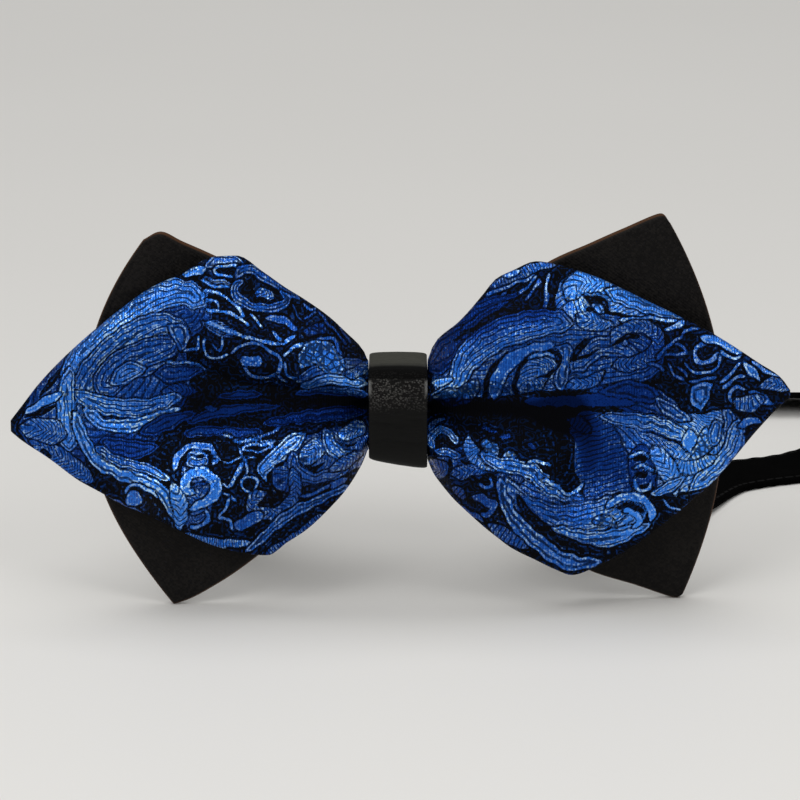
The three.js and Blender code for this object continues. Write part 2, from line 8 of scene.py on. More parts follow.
import bpy
import numpy as np
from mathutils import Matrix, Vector


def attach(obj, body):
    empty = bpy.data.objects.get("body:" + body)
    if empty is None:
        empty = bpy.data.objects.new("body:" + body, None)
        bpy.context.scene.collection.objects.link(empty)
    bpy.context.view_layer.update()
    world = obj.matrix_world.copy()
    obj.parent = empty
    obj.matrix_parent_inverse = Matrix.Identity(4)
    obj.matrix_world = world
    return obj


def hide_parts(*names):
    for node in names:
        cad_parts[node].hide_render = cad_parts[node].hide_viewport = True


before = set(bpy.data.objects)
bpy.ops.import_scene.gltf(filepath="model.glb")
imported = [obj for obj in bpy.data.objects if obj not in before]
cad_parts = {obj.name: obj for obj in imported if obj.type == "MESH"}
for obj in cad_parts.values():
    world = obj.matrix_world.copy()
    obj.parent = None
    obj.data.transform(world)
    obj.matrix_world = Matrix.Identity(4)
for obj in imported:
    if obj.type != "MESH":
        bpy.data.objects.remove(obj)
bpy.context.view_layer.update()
MM = 0.001


def table(columns, *rows):
    """Rows of values under named columns."""
    return [dict(zip(columns.split(), row)) for row in rows]


# The view of the photograph
IMAGE_SIDE = 800
FOCAL_PIXELS = 2903
VIEW_DISTANCE = 450
VIEW_RISE = math.radians(16)
VIEW_TARGET = np.array([0.3, -7.0, 1.0])
SENSOR_WIDTH = 36

# Driving dimensions of the bow, as in the part's source
BAND_WIDTH = 9
BAND_HEIGHT = 14
BAND_WALL = 1.2
BAND_BOTTOM_SLANT = 1.5
BAND_CORNER_RADIUS = 1.8
LEFT_REACH = 60
LEFT_RISE = 24.2
LEFT_DROP = 24
RIGHT_REACH = 60.5
RIGHT_RISE = 23.3
RIGHT_DROP = 27.2
FRONT_CLOTH = 1.8
FOLD_HEIGHT = 5.6
KNOT_THICKNESS = 7.1
BACK_LEFT_REACH = 48.5
BACK_LEFT_RISE = 27.2
BACK_RIGHT_REACH = 51.2
BACK_RIGHT_RISE = 30
BACK_CLOTH = 1.6
BACK_SWING = 2.5
BACK_PLEAT = 0.5
BACK_BULGE_RISE = 0.06
STRAP_WIDTH = 14.5
STRAP_THICKNESS = 1.2
KNOT_HEIGHT = 33.4
LOOP_ACROSS = 106
LOOP_AWAY = 108
CLASP_LENGTH = 22
CLASP_THICKNESS = 4.2
CLASP_SLOT_DEPTH = 8
CLASP_RAMP = 16
FIT_GAP = 0.3
LAYER_GAP = 2.8
STRAIGHT_THROUGH_KNOT = 3
VALLEY_SHARE = 0.35

# The layers lie one behind the other inside the band, from the neck to the front
strap_back_y = -(BAND_WALL + FIT_GAP)
strap_middle_y = strap_back_y - STRAP_THICKNESS / 2
back_cloth_back_y = strap_back_y - STRAP_THICKNESS - FIT_GAP
back_cloth_front_y = back_cloth_back_y - BACK_CLOTH
knot_back_y = back_cloth_front_y - FIT_GAP
knot_front_y = knot_back_y - KNOT_THICKNESS
band_front_y = knot_front_y - FIT_GAP - BAND_WALL
band_half_width = BAND_WIDTH / 2
knot_half_width = band_half_width + FIT_GAP
knot_half_height = (BAND_HEIGHT - BAND_BOTTOM_SLANT) / 2 - BAND_WALL - FIT_GAP
strap_knot_width = 2 * knot_half_height - (BAND_CORNER_RADIUS - BAND_WALL)
front_edge_y = back_cloth_front_y - LAYER_GAP - FRONT_CLOTH
floor_z = -KNOT_HEIGHT

# Outline of each front wing: along is a share of the reach, top of the rise, bottom of the drop
LEFT_OUTLINE = table(
    "along top bottom",
    (0.08, 0.34, 0.34),
    (0.12, 0.46, 0.5),
    (0.17, 0.59, 0.65),
    (0.24, 0.72, 0.82),
    (0.29, 0.8, 0.91),
    (0.34, 0.89, 0.995),
    (0.41, 1, 0.98),
    (0.47, 0.995, 0.94),
    (0.54, 0.9, 0.865),
    (0.63, 0.79, 0.75),
    (0.73, 0.61, 0.63),
    (0.82, 0.42, 0.495),
    (0.92, 0.175, 0.305),
    (0.975, 0, 0.205),
    (1, -0.08, 0.15),
)
RIGHT_OUTLINE = table(
    "along top bottom",
    (0.075, 0.355, 0.36),
    (0.105, 0.47, 0.445),
    (0.16, 0.61, 0.575),
    (0.21, 0.76, 0.68),
    (0.25, 0.89, 0.76),
    (0.29, 0.94, 0.83),
    (0.35, 1, 0.9),
    (0.41, 0.975, 0.967),
    (0.45, 0.94, 1),
    (0.51, 0.885, 0.95),
    (0.61, 0.76, 0.825),
    (0.71, 0.635, 0.64),
    (0.82, 0.48, 0.41),
    (0.92, 0.31, 0.125),
    (0.975, 0.215, -0.02),
    (1, 0.13, -0.07),
)

# Folds of each front wing, as in the part's source, and then the finer gathers and dents that
# only the render shows. A place is a share of the reach and a share of the rise; height, at
# each end, is a share of FOLD_HEIGHT and width of the rise.
LEFT_FOLDS = table(
    "from mid to height width",
    ([0.08, 0.3], [0.27, 0.42], [0.6, 0.7], [0.95, 0.55], [0.2, 0.3]),
    ([0.08, -0.2], [0.27, -0.36], [0.6, -0.62], [0.9, 0.6], [0.2, 0.26]),
    ([0.06, 0.02], [0.26, 0.05], [0.5, 0.02], [-0.75, -0.35], [0.09, 0.2]),
    ([0.55, 0.1], [0.66, 0.05], [0.76, 0], [-0.25, -0.3], [0.3, 0.3]),
    ([0.74, 0.58], [0.855, 0.05], [0.62, -0.48], [0.42, 0.42], [0.13, 0.15]),
    ([0.09, 0.4], [0.13, 0.46], [0.18, 0.52], [-0.4, -0.1], [0.05, 0.05]),
)
RIGHT_FOLDS = table(
    "from mid to height width",
    ([0.08, 0.26], [0.24, 0.44], [0.55, 0.72], [0.95, 0.5], [0.2, 0.32]),
    ([0.08, -0.24], [0.24, -0.52], [0.45, -0.84], [0.9, 0.5], [0.22, 0.26]),
    ([0.06, 0.02], [0.28, 0], [0.42, -0.04], [-0.75, -0.6], [0.09, 0.14]),
    ([0.42, -0.04], [0.485, -0.26], [0.45, -0.62], [-0.6, -0.25], [0.14, 0.12]),
    ([0.5, 0.1], [0.56, -0.06], [0.54, -0.4], [-0.3, -0.2], [0.25, 0.25]),
    ([0.68, 0.35], [0.8, -0.06], [0.66, -0.5], [0.4, 0.35], [0.24, 0.24]),
    ([0.09, 0.42], [0.13, 0.52], [0.19, 0.66], [-0.4, -0.15], [0.05, 0.05]),
)
LEFT_GATHERS = table(
    "from mid to height width",
    ([0.07, 0.14], [0.2, 0.24], [0.36, 0.3], [0.16, 0.02], [0.035, 0.08]),
    ([0.07, 0.22], [0.16, 0.34], [0.3, 0.5], [-0.14, -0.02], [0.03, 0.07]),
    ([0.07, -0.1], [0.18, -0.16], [0.34, -0.22], [0.14, 0.02], [0.03, 0.07]),
    ([0.07, -0.28], [0.17, -0.42], [0.28, -0.6], [-0.12, -0.02], [0.03, 0.06]),
    ([0.36, 1.02], [0.37, 0.92], [0.38, 0.84], [-0.22, 0], [0.04, 0.06]),
    ([0.45, 0.99], [0.49, 0.9], [0.56, 0.82], [-0.2, -0.05], [0.035, 0.06]),
)
RIGHT_GATHERS = table(
    "from mid to height width",
    ([0.07, 0.12], [0.2, 0.22], [0.36, 0.28], [0.16, 0.02], [0.035, 0.08]),
    ([0.07, 0.2], [0.16, 0.36], [0.28, 0.55], [-0.16, -0.02], [0.03, 0.07]),
    ([0.07, -0.12], [0.18, -0.2], [0.34, -0.3], [0.14, 0.02], [0.035, 0.08]),
    ([0.07, -0.26], [0.17, -0.46], [0.26, -0.66], [-0.14, -0.02], [0.03, 0.06]),
    ([0.27, 1.0], [0.3, 0.88], [0.34, 0.78], [-0.22, 0], [0.04, 0.06]),
    ([0.36, 1.02], [0.37, 0.9], [0.38, 0.8], [-0.2, 0], [0.03, 0.05]),
)

# Sections of each back wing, from the band to its outer edge, as in the part's source
BACK_LEFT_SECTIONS = table(
    "topAt top lowAt low bulge topSwing lowSwing",
    (0.165, 0.35, 0.155, 0.3, 0.01, 0, 0),
    (0.29, 0.535, 0.25, 0.485, 0.04, 0, 0),
    (0.435, 0.71, 0.36, 0.635, 0.085, 0.1, 0),
    (0.585, 0.86, 0.465, 0.77, 0.14, 0.2, 0.1),
    (0.68, 0.94, 0.58, 0.89, 0.19, 0.3, 0.2),
    (0.75, 1, 0.685, 0.975, 0.23, 0.4, 0.3),
    (0.805, 0.955, 0.735, 1, 0.235, 0.4, 0.3),
)
BACK_RIGHT_SECTIONS = table(
    "topAt top lowAt low bulge topSwing lowSwing",
    (0.155, 0.32, 0.155, 0.29, 0.01, 0, 0),
    (0.295, 0.52, 0.31, 0.51, 0.03, 0, -0.1),
    (0.455, 0.745, 0.46, 0.71, 0.055, 0.1, -0.3),
    (0.575, 0.84, 0.6, 0.855, 0.09, 0.1, -0.5),
    (0.675, 0.92, 0.735, 0.928, 0.12, 0.2, -0.7),
    (0.785, 1, 0.865, 1, 0.142, 0.3, -0.9),
    (0.815, 0.95, 0.888, 0.985, 0.145, 0.3, -0.9),
)
BACK_PLEATS = table(
    "up height",
    (0.45, 1),
    (-0.35, 0.8),
    (0.05, -0.7),
)

# Route of the ribbon on each side of the knot, from the knot to the clasp, as in the part's source
RIGHT_ROUTE = table(
    "across away lean lift width",
    (0.15, 0.02, 10, 0.92, 0.9),
    (0.3, 0.15, 38, 0.5, 1),
    (0.4, 0.3, 62, 0.12, 1),
    (0.461, 0.419, 80, 0.01, 1),
    (0.503, 0.498, 88, 0, 1),
    (0.541, 0.545, 90, 0, 1),
    (0.602, 0.58, 90, 0, 1),
    (0.652, 0.599, 90, 0, 1),
    (0.725, 0.622, 86, 0, 1),
    (0.86, 0.68, 66, 0, 1),
    (0.97, 0.79, 46, 0, 1),
    (0.985, 0.885, 50, 0, 1),
    (0.9, 0.965, 66, 0, 1),
    (0.79, 0.99, 74, 0, 1),
    (0.68, 0.994, 74, 0, 1),
    (0.4, 1, 78, 0, 1),
    (0.15, 1, 90, 0, 1),
)
LEFT_ROUTE = table(
    "across away lean lift width",
    (-0.14, 0.015, 10, 0.92, 0.9),
    (-0.27, 0.15, 32, 0.5, 1),
    (-0.385, 0.36, 42, 0.08, 1),
    (-0.455, 0.58, 40, 0, 1),
    (-0.465, 0.78, 40, 0, 1),
    (-0.375, 0.93, 55, 0, 1),
    (-0.25, 0.99, 78, 0, 1),
    (-0.15, 1, 90, 0, 1),
)

# Fineness of the meshes
FRONT_WING_STATIONS = 256
KNOT_STATIONS = 5
FRONT_ROWS = 176
LINING_STRIDE = 4
FOLD_SAMPLES = 60
BACK_STATIONS = 110
BACK_ROWS = 120
STRAP_STATIONS = 620
BAND_CORNER_STEPS = 18
BAND_SIDE_STEPS = 57
BAND_SECTION_STEPS = 64
ROWS_TO_EDGES = 0.45


# Maths shared by the pieces


def mix(start, end, share):
    return start + (end - start) * share


def eased(start, end, value):
    """0 before the start, 1 after the end and smooth between."""
    share = np.clip((value - start) / (end - start), 0, 1)
    return share * share * (3 - 2 * share)


def curve_through(places, values):
    """A smooth curve through the rows of a table that never swings past them."""
    places = np.asarray(places, float)
    values = np.asarray(values, float)
    rises = np.diff(values) / np.diff(places)
    slopes = np.concatenate([rises[:1], np.zeros(len(rises) - 1), rises[-1:]])
    for i in range(1, len(rises)):
        if rises[i - 1] * rises[i] > 0:
            slopes[i] = 2 * rises[i - 1] * rises[i] / (rises[i - 1] + rises[i])

    def read(place):
        row = np.clip(np.searchsorted(places, place) - 1, 0, len(places) - 2)
        span = places[row + 1] - places[row]
        t = np.clip((place - places[row]) / span, 0, 1)
        keep = (1 + 2 * t) * (1 - t) ** 2
        leave = t * (1 - t) ** 2 * span * slopes[row]
        arrive = -t * t * (1 - t) * span * slopes[row + 1]
        return keep * values[row] + (1 - keep) * values[row + 1] + leave + arrive

    return read


def column(rows, name):
    return [row[name] for row in rows]


def bezier(start, through, end, shares):
    """Points of a curve with one bend that passes through the middle point."""
    bend = 2 * through - (start + end) / 2
    shares = np.asarray(shares)[:, None]
    return (1 - shares) ** 2 * start + 2 * shares * (1 - shares) * bend + shares ** 2 * end


def ripple(first, second, seed, waves=7):
    """Smooth noise between about -1 and 1: waves of seeded directions, about one unit long."""
    chance = np.random.default_rng(seed)
    total = np.zeros(np.broadcast(first, second).shape)
    for _ in range(waves):
        turn = chance.uniform(0, 2 * np.pi)
        length = chance.uniform(0.7, 1.6)
        phase = chance.uniform(0, 2 * np.pi)
        total += np.sin((first * np.cos(turn) + second * np.sin(turn)) * 2 * np.pi / length + phase)
    return total / math.sqrt(waves)


def rows_across(count):
    """Places of rows across a layer of cloth, from -1 to 1, closer together towards its edges."""
    step = np.arange(count + 1)[None, :] / count
    return -np.cos(np.pi * step) * ROWS_TO_EDGES + mix(-1, 1, step) * (1 - ROWS_TO_EDGES)


def edge_rounding(from_edge, radius, left):
    """Share of the cloth's thickness near its rounded edge; left is the share at the very edge."""
    short = 1 - np.clip(from_edge / radius, 0, 1)
    return mix(left, 1, np.sqrt(1 - short ** 2))


def front_and_rear(x, middle_y, half, z):
    """Front and rear points of a layer of cloth; half is half its thickness."""
    return [np.stack(np.broadcast_arrays(x, middle_y + way * half, z), axis=-1) for way in (-1, 1)]


# Meshes


def grid_quads(rows, columns, first=0, turned=False):
    """Corner numbers of the quads of a grid of points."""
    i, j = np.meshgrid(np.arange(rows - 1), np.arange(columns - 1), indexing="ij")
    corner = (first + i * columns + j).ravel()
    quads = np.stack([corner, corner + columns, corner + columns + 1, corner + 1], axis=1)
    return quads[:, ::-1] if turned else quads


def tube_quads(rings, count, closed=False):
    """Corner numbers of the quads of a tube of rings; a closed one joins its last ring to its first."""
    i, j = np.meshgrid(np.arange(rings if closed else rings - 1), np.arange(count), indexing="ij")
    here = i * count
    after = (i + 1) % rings * count
    beside = (j + 1) % count
    return np.stack([here + j, here + beside, after + beside, after + j], axis=-1).reshape(-1, 4)


def rim_of(rows, columns, first=0):
    """Corner numbers once round the rim of a grid of points."""
    i = np.arange(rows)
    j = np.arange(columns)
    sides = [
        i * columns,
        (rows - 1) * columns + j[1:],
        i[::-1][1:] * columns + columns - 1,
        j[::-1][1:-1],
    ]
    return first + np.concatenate(sides)


def sheet_faces(rows, columns, stride):
    """A closed sheet: a fine front grid, a coarser back grid, and the strip that joins their rims."""
    back_rows = (rows - 1) // stride + 1
    back_columns = (columns - 1) // stride + 1
    back_first = rows * columns
    faces = [*grid_quads(rows, columns), *grid_quads(back_rows, back_columns, back_first, turned=True)]
    fine = rim_of(rows, columns)
    coarse = rim_of(back_rows, back_columns, back_first)
    for k in range(len(coarse)):
        near = coarse[k]
        far = coarse[(k + 1) % len(coarse)]
        for i in range(stride):
            a = fine[(k * stride + i) % len(fine)]
            b = fine[(k * stride + i + 1) % len(fine)]
            faces.append((b, a, near if i < stride / 2 else far))
        half = fine[(k * stride + math.ceil(stride / 2)) % len(fine)]
        faces.append((half, near, far))
    return faces


def make_object(name, points, faces):
    """A smooth mesh object from points in millimetres."""
    mesh = bpy.data.meshes.new(name)
    mesh.from_pydata((np.asarray(points) * MM).tolist(), [], [list(map(int, face)) for face in faces])
    mesh.polygons.foreach_set("use_smooth", np.ones(len(mesh.polygons), dtype=bool))
    mesh.validate()
    mesh.update()
    piece = bpy.data.objects.new(name, mesh)
    bpy.context.scene.collection.objects.link(piece)
    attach(piece, "root")
    return piece


def give_value(piece, name, values):
    """A named number at each point of the mesh, for the material to read."""
    layer = piece.data.attributes.new(name, "FLOAT", "POINT")
    layer.data.foreach_set("value", np.asarray(values, np.float32).ravel())


def give_place(piece, name, places):
    """A named place at each point of the mesh, for the material to read."""
    layer = piece.data.attributes.new(name, "FLOAT_VECTOR", "POINT")
    layer.data.foreach_set("vector", np.asarray(places, np.float32).ravel())


# The pattern of the brocade. Its places and widths are in pixels of the photograph, so that
# each figure lies where the photograph shows it; the cloth carries them by the view's own lines.


def place_in_photo(points):
    """Where the view of the photograph shows points given in millimetres."""
    away = np.array([0, -math.cos(VIEW_RISE), math.sin(VIEW_RISE)])
    up = np.array([0, math.sin(VIEW_RISE), math.cos(VIEW_RISE)])
    offset = points - VIEW_TARGET
    depth = VIEW_DISTANCE - offset @ away
    across = IMAGE_SIDE / 2 + FOCAL_PIXELS * offset[..., 0] / depth
    down = IMAGE_SIDE / 2 - FOCAL_PIXELS * (offset @ up) / depth
    return np.stack([across, down], axis=-1)


def figure(kind, through, half, tone=0.5, lines=None, gap=6, net=0):
    """One figure of the pattern: a stroke through some places with a half width at each.

    kind is solid (blue), dark (black) or outline (a blue line round black). tone is 0 for dark blue
    and 1 for light; it is partly the cloth's own tone and partly painted light and shade, darker where
    the figure lies in shade. lines is along, across or feather for fine black lines inside, gap apart, and
    net is 1 for a black netting.
    """
    return {
        "kind": kind, "through": through, "half": half, "tone": tone,
        "lines": lines, "gap": gap, "net": net,
    }


def solid(through, half, *look, net=0):
    """A blue figure; look is its tone and then, if it has them, its fine lines and their gap."""
    return figure("solid", through, half, *look, net=net)


def dark(through, half):
    return figure("dark", through, half)


def outline(through, half, tone):
    """A black figure with a blue line round it."""
    return figure("outline", through, half, tone)


def line(through, half, tone):
    """A blue line of one width."""
    return figure("solid", through, [half], tone)


def dot(place, half, tone):
    return figure("solid", [place], [half], tone)


LEFT_PATTERN = [
    # The great paisley of the outer half: its ground, the bands round its crest, its body and tongues
    solid([(28, 428), (60, 424), (100, 400), (130, 376)], [10, 42, 68, 60], 0.22, "along", 7),
    solid([(140, 336), (176, 318), (192, 312)], [40, 28, 20], 0.3, "along", 5),
    solid([(286, 478), (310, 462), (352, 446)], [14, 26, 22], 0.3, "feather", 5),
    solid([(296, 382), (330, 372), (368, 372)], [5, 12, 15], 0.5, "along", 4.6),
    solid([(262, 424), (310, 416), (366, 411)], [4, 7, 7], 0.4, "along", 4.2),
    solid([(186, 422), (226, 411), (280, 406)], [4, 6, 2], 0.15, "along", 4.6),
    solid([(192, 462), (200, 500), (190, 530)], [14, 14, 10], 0.5, "feather", 5),
    solid([(30, 440), (60, 458), (94, 482)], [6, 10, 5], 0.5, "feather", 4.5),
    solid([(64, 388), (80, 356), (108, 328), (146, 300), (184, 292), (206, 306)],
          [7, 12, 14, 17, 14, 10], 0.9, "along", 4.6),
    solid([(78, 402), (98, 368), (130, 338), (162, 324), (188, 332)], [12, 15, 14, 12, 8], 0.6, "along", 5),
    solid([(100, 392), (122, 366), (150, 352), (180, 344)], [14, 15, 13, 10], 0.35, "along", 5),
    solid([(112, 384), (128, 372), (146, 368)], [9, 9, 6], 0.55, "along", 4.5),
    solid([(168, 326), (180, 334), (182, 350)], [7, 8, 6], 0.6, "along", 6),
    solid([(156, 374), (182, 372), (206, 368)], [9, 9, 3], 0.12, "along", 6),
    line([(166, 362), (196, 364), (207, 370)], 1.2, 0.8),
    solid([(162, 392), (180, 390), (198, 392)], [5, 6, 3], 0.1, "feather", 5),
    solid([(72, 392), (104, 405), (142, 408), (182, 396)], [6, 9, 9, 4], 0.7, "along", 4.6),
    solid([(84, 408), (104, 424), (140, 424), (180, 408)], [5, 6, 6, 3], 1.0, "along", 6),
    solid([(140, 434), (164, 424), (196, 412)], [6, 8, 2], 0.1, "along", 5),
    solid([(100, 442), (130, 450), (160, 446)], [8, 10, 5], 0.22, "along", 4.6),
    dark([(158, 454), (172, 448), (184, 436)], [6, 9, 6]),
    solid([(70, 368), (66, 400), (70, 450)], [5, 9, 11], 0.85, "along", 4.5),
    solid([(20, 428), (44, 430), (64, 436)], [6, 12, 12], 0.55, "feather", 4.5),
    solid([(26, 414), (44, 402), (62, 394)], [2.5, 4, 4], 0.95),
    dark([(24, 418), (42, 412), (58, 404)], [0.8, 3, 1]),
    dark([(38, 398), (50, 384), (62, 368)], [1, 4, 1.5]),
    dark([(44, 452), (50, 456)], [3, 2]),
    dark([(84, 456), (90, 466), (98, 474)], [2, 4, 3]),
    dark([(96, 484), (118, 496), (148, 508), (162, 520)], [4, 14, 14, 4]),
    # The stem that leaves the paisley, its leaf, the dot and the scrolls beside it
    solid([(74, 412), (84, 440), (100, 462), (134, 478), (162, 492), (176, 520)],
          [4, 6, 7, 7, 6, 5], 1.0, "along", 6.5),
    solid([(96, 446), (116, 460), (146, 468), (170, 480)], [3, 5, 5, 4], 0.7, "along", 4.2),
    solid([(172, 482), (180, 505), (180, 530)], [5, 8, 4], 1.0, "feather", 7),
    dot((134, 499), 8, 0.75),
    line([(124, 494), (133, 485), (146, 488), (158, 498)], 1.4, 0.95),
    line([(108, 497), (132, 508), (160, 522)], 0.8, 0.5),
    solid([(173, 472), (178, 456), (192, 446), (209, 447), (216, 458), (212, 465)],
          [3, 3.5, 3.5, 3.5, 3, 2], 0.75),
    line([(186, 458), (198, 452), (210, 457)], 1.7, 0.85),
    solid([(192, 462), (204, 462)], [5, 5], 0.7, "along", 4),
    solid([(194, 494), (186, 488), (188, 477), (202, 472), (214, 480), (215, 493), (206, 502),
          (190, 509)], [4, 5, 5, 5, 5.5, 5.5, 5, 3], 1.0),
    line([(192, 487), (208, 482)], 1.0, 0.4),
    line([(190, 528), (202, 525), (209, 518), (205, 510)], 1.7, 0.85),
    line([(190, 514), (204, 511)], 1.2, 0.6),
    solid([(184, 534), (214, 543), (252, 543)], [3, 4.5, 3], 0.75, "across", 2.6),
    # The inner half below the valley
    solid([(182, 434), (210, 431), (240, 433), (264, 431)], [4, 6, 6, 4], 0.15, "along", 4.6),
    line([(222, 434), (240, 440), (262, 436), (280, 428)], 1.3, 0.7),
    line([(232, 441), (256, 441), (282, 440)], 1.4, 0.95),
    outline([(242, 448), (256, 448), (274, 446)], [2, 4, 1], 0.9),
    line([(238, 445), (243, 456), (258, 459)], 1.3, 0.8),
    line([(214, 456), (226, 462), (244, 457)], 1.4, 0.9),
    line([(244, 457), (247, 470), (240, 480)], 1.4, 0.8),
    line([(222, 482), (230, 486), (238, 472), (244, 462)], 1.6, 0.9),
    outline([(249, 484)], [8], 0.95),
    solid([(266, 480), (263, 470), (278, 456), (296, 440), (306, 432)], [4, 7, 8, 8, 4], 0.95, "along", 5),
    dark([(274, 467), (286, 462)], [2, 2]),
    solid([(292, 452), (296, 470), (312, 478), (334, 474), (352, 462)], [5, 6, 5, 6, 3], 0.45, "along", 5),
    solid([(308, 456), (316, 448)], [9, 9], 0.65, "feather", 4.5),
    dark([(303, 465), (314, 469), (325, 462)], [1, 2.6, 1]),
    solid([(326, 428), (330, 444), (342, 456), (358, 452)], [5, 6, 6, 5], 0.6, "along", 4.5),
    solid([(346, 434), (358, 428)], [7, 8], 0.75, "feather", 4.5),
    dark([(338, 442), (348, 446), (358, 442)], [1, 1.6, 1]),
    solid([(330, 470), (346, 462), (362, 452)], [4, 6, 4], 0.35, "feather", 4.5),
    solid([(266, 492), (254, 498), (254, 510), (270, 514), (288, 506), (296, 490), (292, 468)],
          [6, 6, 6, 6, 6, 6, 4], 0.5, "feather", 5),
    solid([(240, 526), (250, 520), (258, 516)], [5, 7, 5], 0.55),
    solid([(326, 484), (338, 484), (348, 478)], [3, 4, 2], 0.35),
    solid([(246, 552), (262, 538), (286, 517), (314, 502), (350, 486)],
          [3, 4.5, 5, 4, 3], 0.6, "along", 5.5),
    solid([(266, 554), (292, 538), (324, 514)], [2.5, 3.5, 2.5], 0.35, "across", 3.5),
    line([(300, 498), (318, 492), (330, 484)], 1.2, 0.5),
    line([(222, 493), (232, 497), (237, 502)], 1.6, 0.8),
    line([(231, 498), (226, 508), (220, 518), (230, 521), (233, 530)], 1.6, 0.85),
    # The inner half above the valley
    solid([(206, 266), (222, 260), (244, 264)], [6, 6, 6], 0.6, "along", 5),
    solid([(204, 276), (212, 284), (232, 284)], [4, 5, 4], 0.7, "along", 4.5),
    outline([(220, 271), (234, 271)], [5, 5], 1.0),
    solid([(236, 278), (246, 268), (264, 276), (286, 290), (300, 299)], [3, 5, 5, 4, 3], 0.5, "along", 5),
    dark([(182, 279), (198, 280), (206, 286), (232, 291)], [1, 2.4, 2.6, 1.5]),
    solid([(182, 274), (194, 272), (206, 268)], [2.5, 4, 4], 1.0),
    line([(200, 278), (214, 286), (230, 287)], 1.3, 1.0),
    solid([(243, 280), (235, 288), (240, 300), (258, 307), (278, 307), (287, 299), (281, 291)],
          [4, 4.5, 4.5, 4.5, 4.5, 4, 2.5], 0.6, "along", 5),
    dark([(252, 281), (247, 290), (254, 299), (270, 302), (279, 297)], [2.5, 3.2, 3, 2.4, 1.6]),
    solid([(261, 293), (270, 295)], [5, 4.5], 0.7, "feather", 4),
    solid([(264, 318), (280, 319), (298, 330)], [2.5, 4, 2], 0.55),
    line([(202, 290), (218, 293), (234, 304), (246, 318)], 1.7, 1.0),
    line([(205, 300), (216, 302), (220, 311)], 1.5, 0.9),
    line([(206, 309), (224, 312), (240, 318), (250, 327)], 1.7, 1.0),
    solid([(203, 322), (218, 328), (238, 336)], [5, 7, 4], 0.7, "along", 4.5),
    line([(206, 322), (236, 334), (262, 341), (280, 343), (297, 335)], 2.0, 1.0),
    line([(272, 332), (282, 341)], 1.7, 0.95),
    line([(250, 314), (256, 320), (263, 327)], 1.6, 1.0),
    line([(183, 350), (197, 348), (199, 334)], 1.5, 0.9),
    line([(205, 338), (205, 352), (214, 358), (230, 355)], 1.5, 0.9),
    line([(210, 344), (221, 350), (223, 336)], 1.4, 0.8),
    line([(231, 355), (240, 346), (256, 344), (272, 352), (280, 362), (277, 374), (264, 378), (250, 374),
         (242, 366)], 1.5, 0.8),
    solid([(246, 361), (257, 362)], [5.5, 5.5], 0.9),
    line([(282, 356), (298, 346), (316, 341)], 1.6, 1.0),
    line([(284, 360), (287, 374), (298, 378)], 1.4, 0.8),
    line([(276, 376), (288, 383)], 1.4, 0.7),
    solid([(300, 368), (312, 352), (328, 356), (338, 378)], [6, 11, 13, 7], 0.9, net=1),
    line([(318, 338), (334, 340), (342, 356)], 1.4, 0.5),
    solid([(300, 388), (326, 380), (346, 381), (368, 384)], [3, 5, 5, 6], 1.0, "along", 5),
    solid([(296, 394), (330, 391), (368, 395)], [2.5, 4, 4.5], 0.5, "along", 4.5),
    solid([(350, 374), (368, 368)], [4, 7], 0.6, "feather", 4.5),
    line([(292, 304), (298, 316), (304, 322)], 1.0, 0.4),
    line([(303, 302), (310, 310), (318, 306)], 1.1, 0.6),
    line([(304, 320), (316, 312), (326, 318)], 1.0, 0.4),
    solid([(308, 332), (322, 328)], [4, 5], 0.2, net=1),
    line([(326, 306), (340, 326), (352, 344)], 1.0, 0.3),
    line([(318, 310), (334, 330), (346, 344)], 1.0, 0.3),
    solid([(218, 398), (236, 395), (262, 394)], [3, 5, 3], 0.08, "along", 4.6),
    solid([(204, 408), (212, 408), (219, 409)], [3, 3.5, 2], 1.0),
]

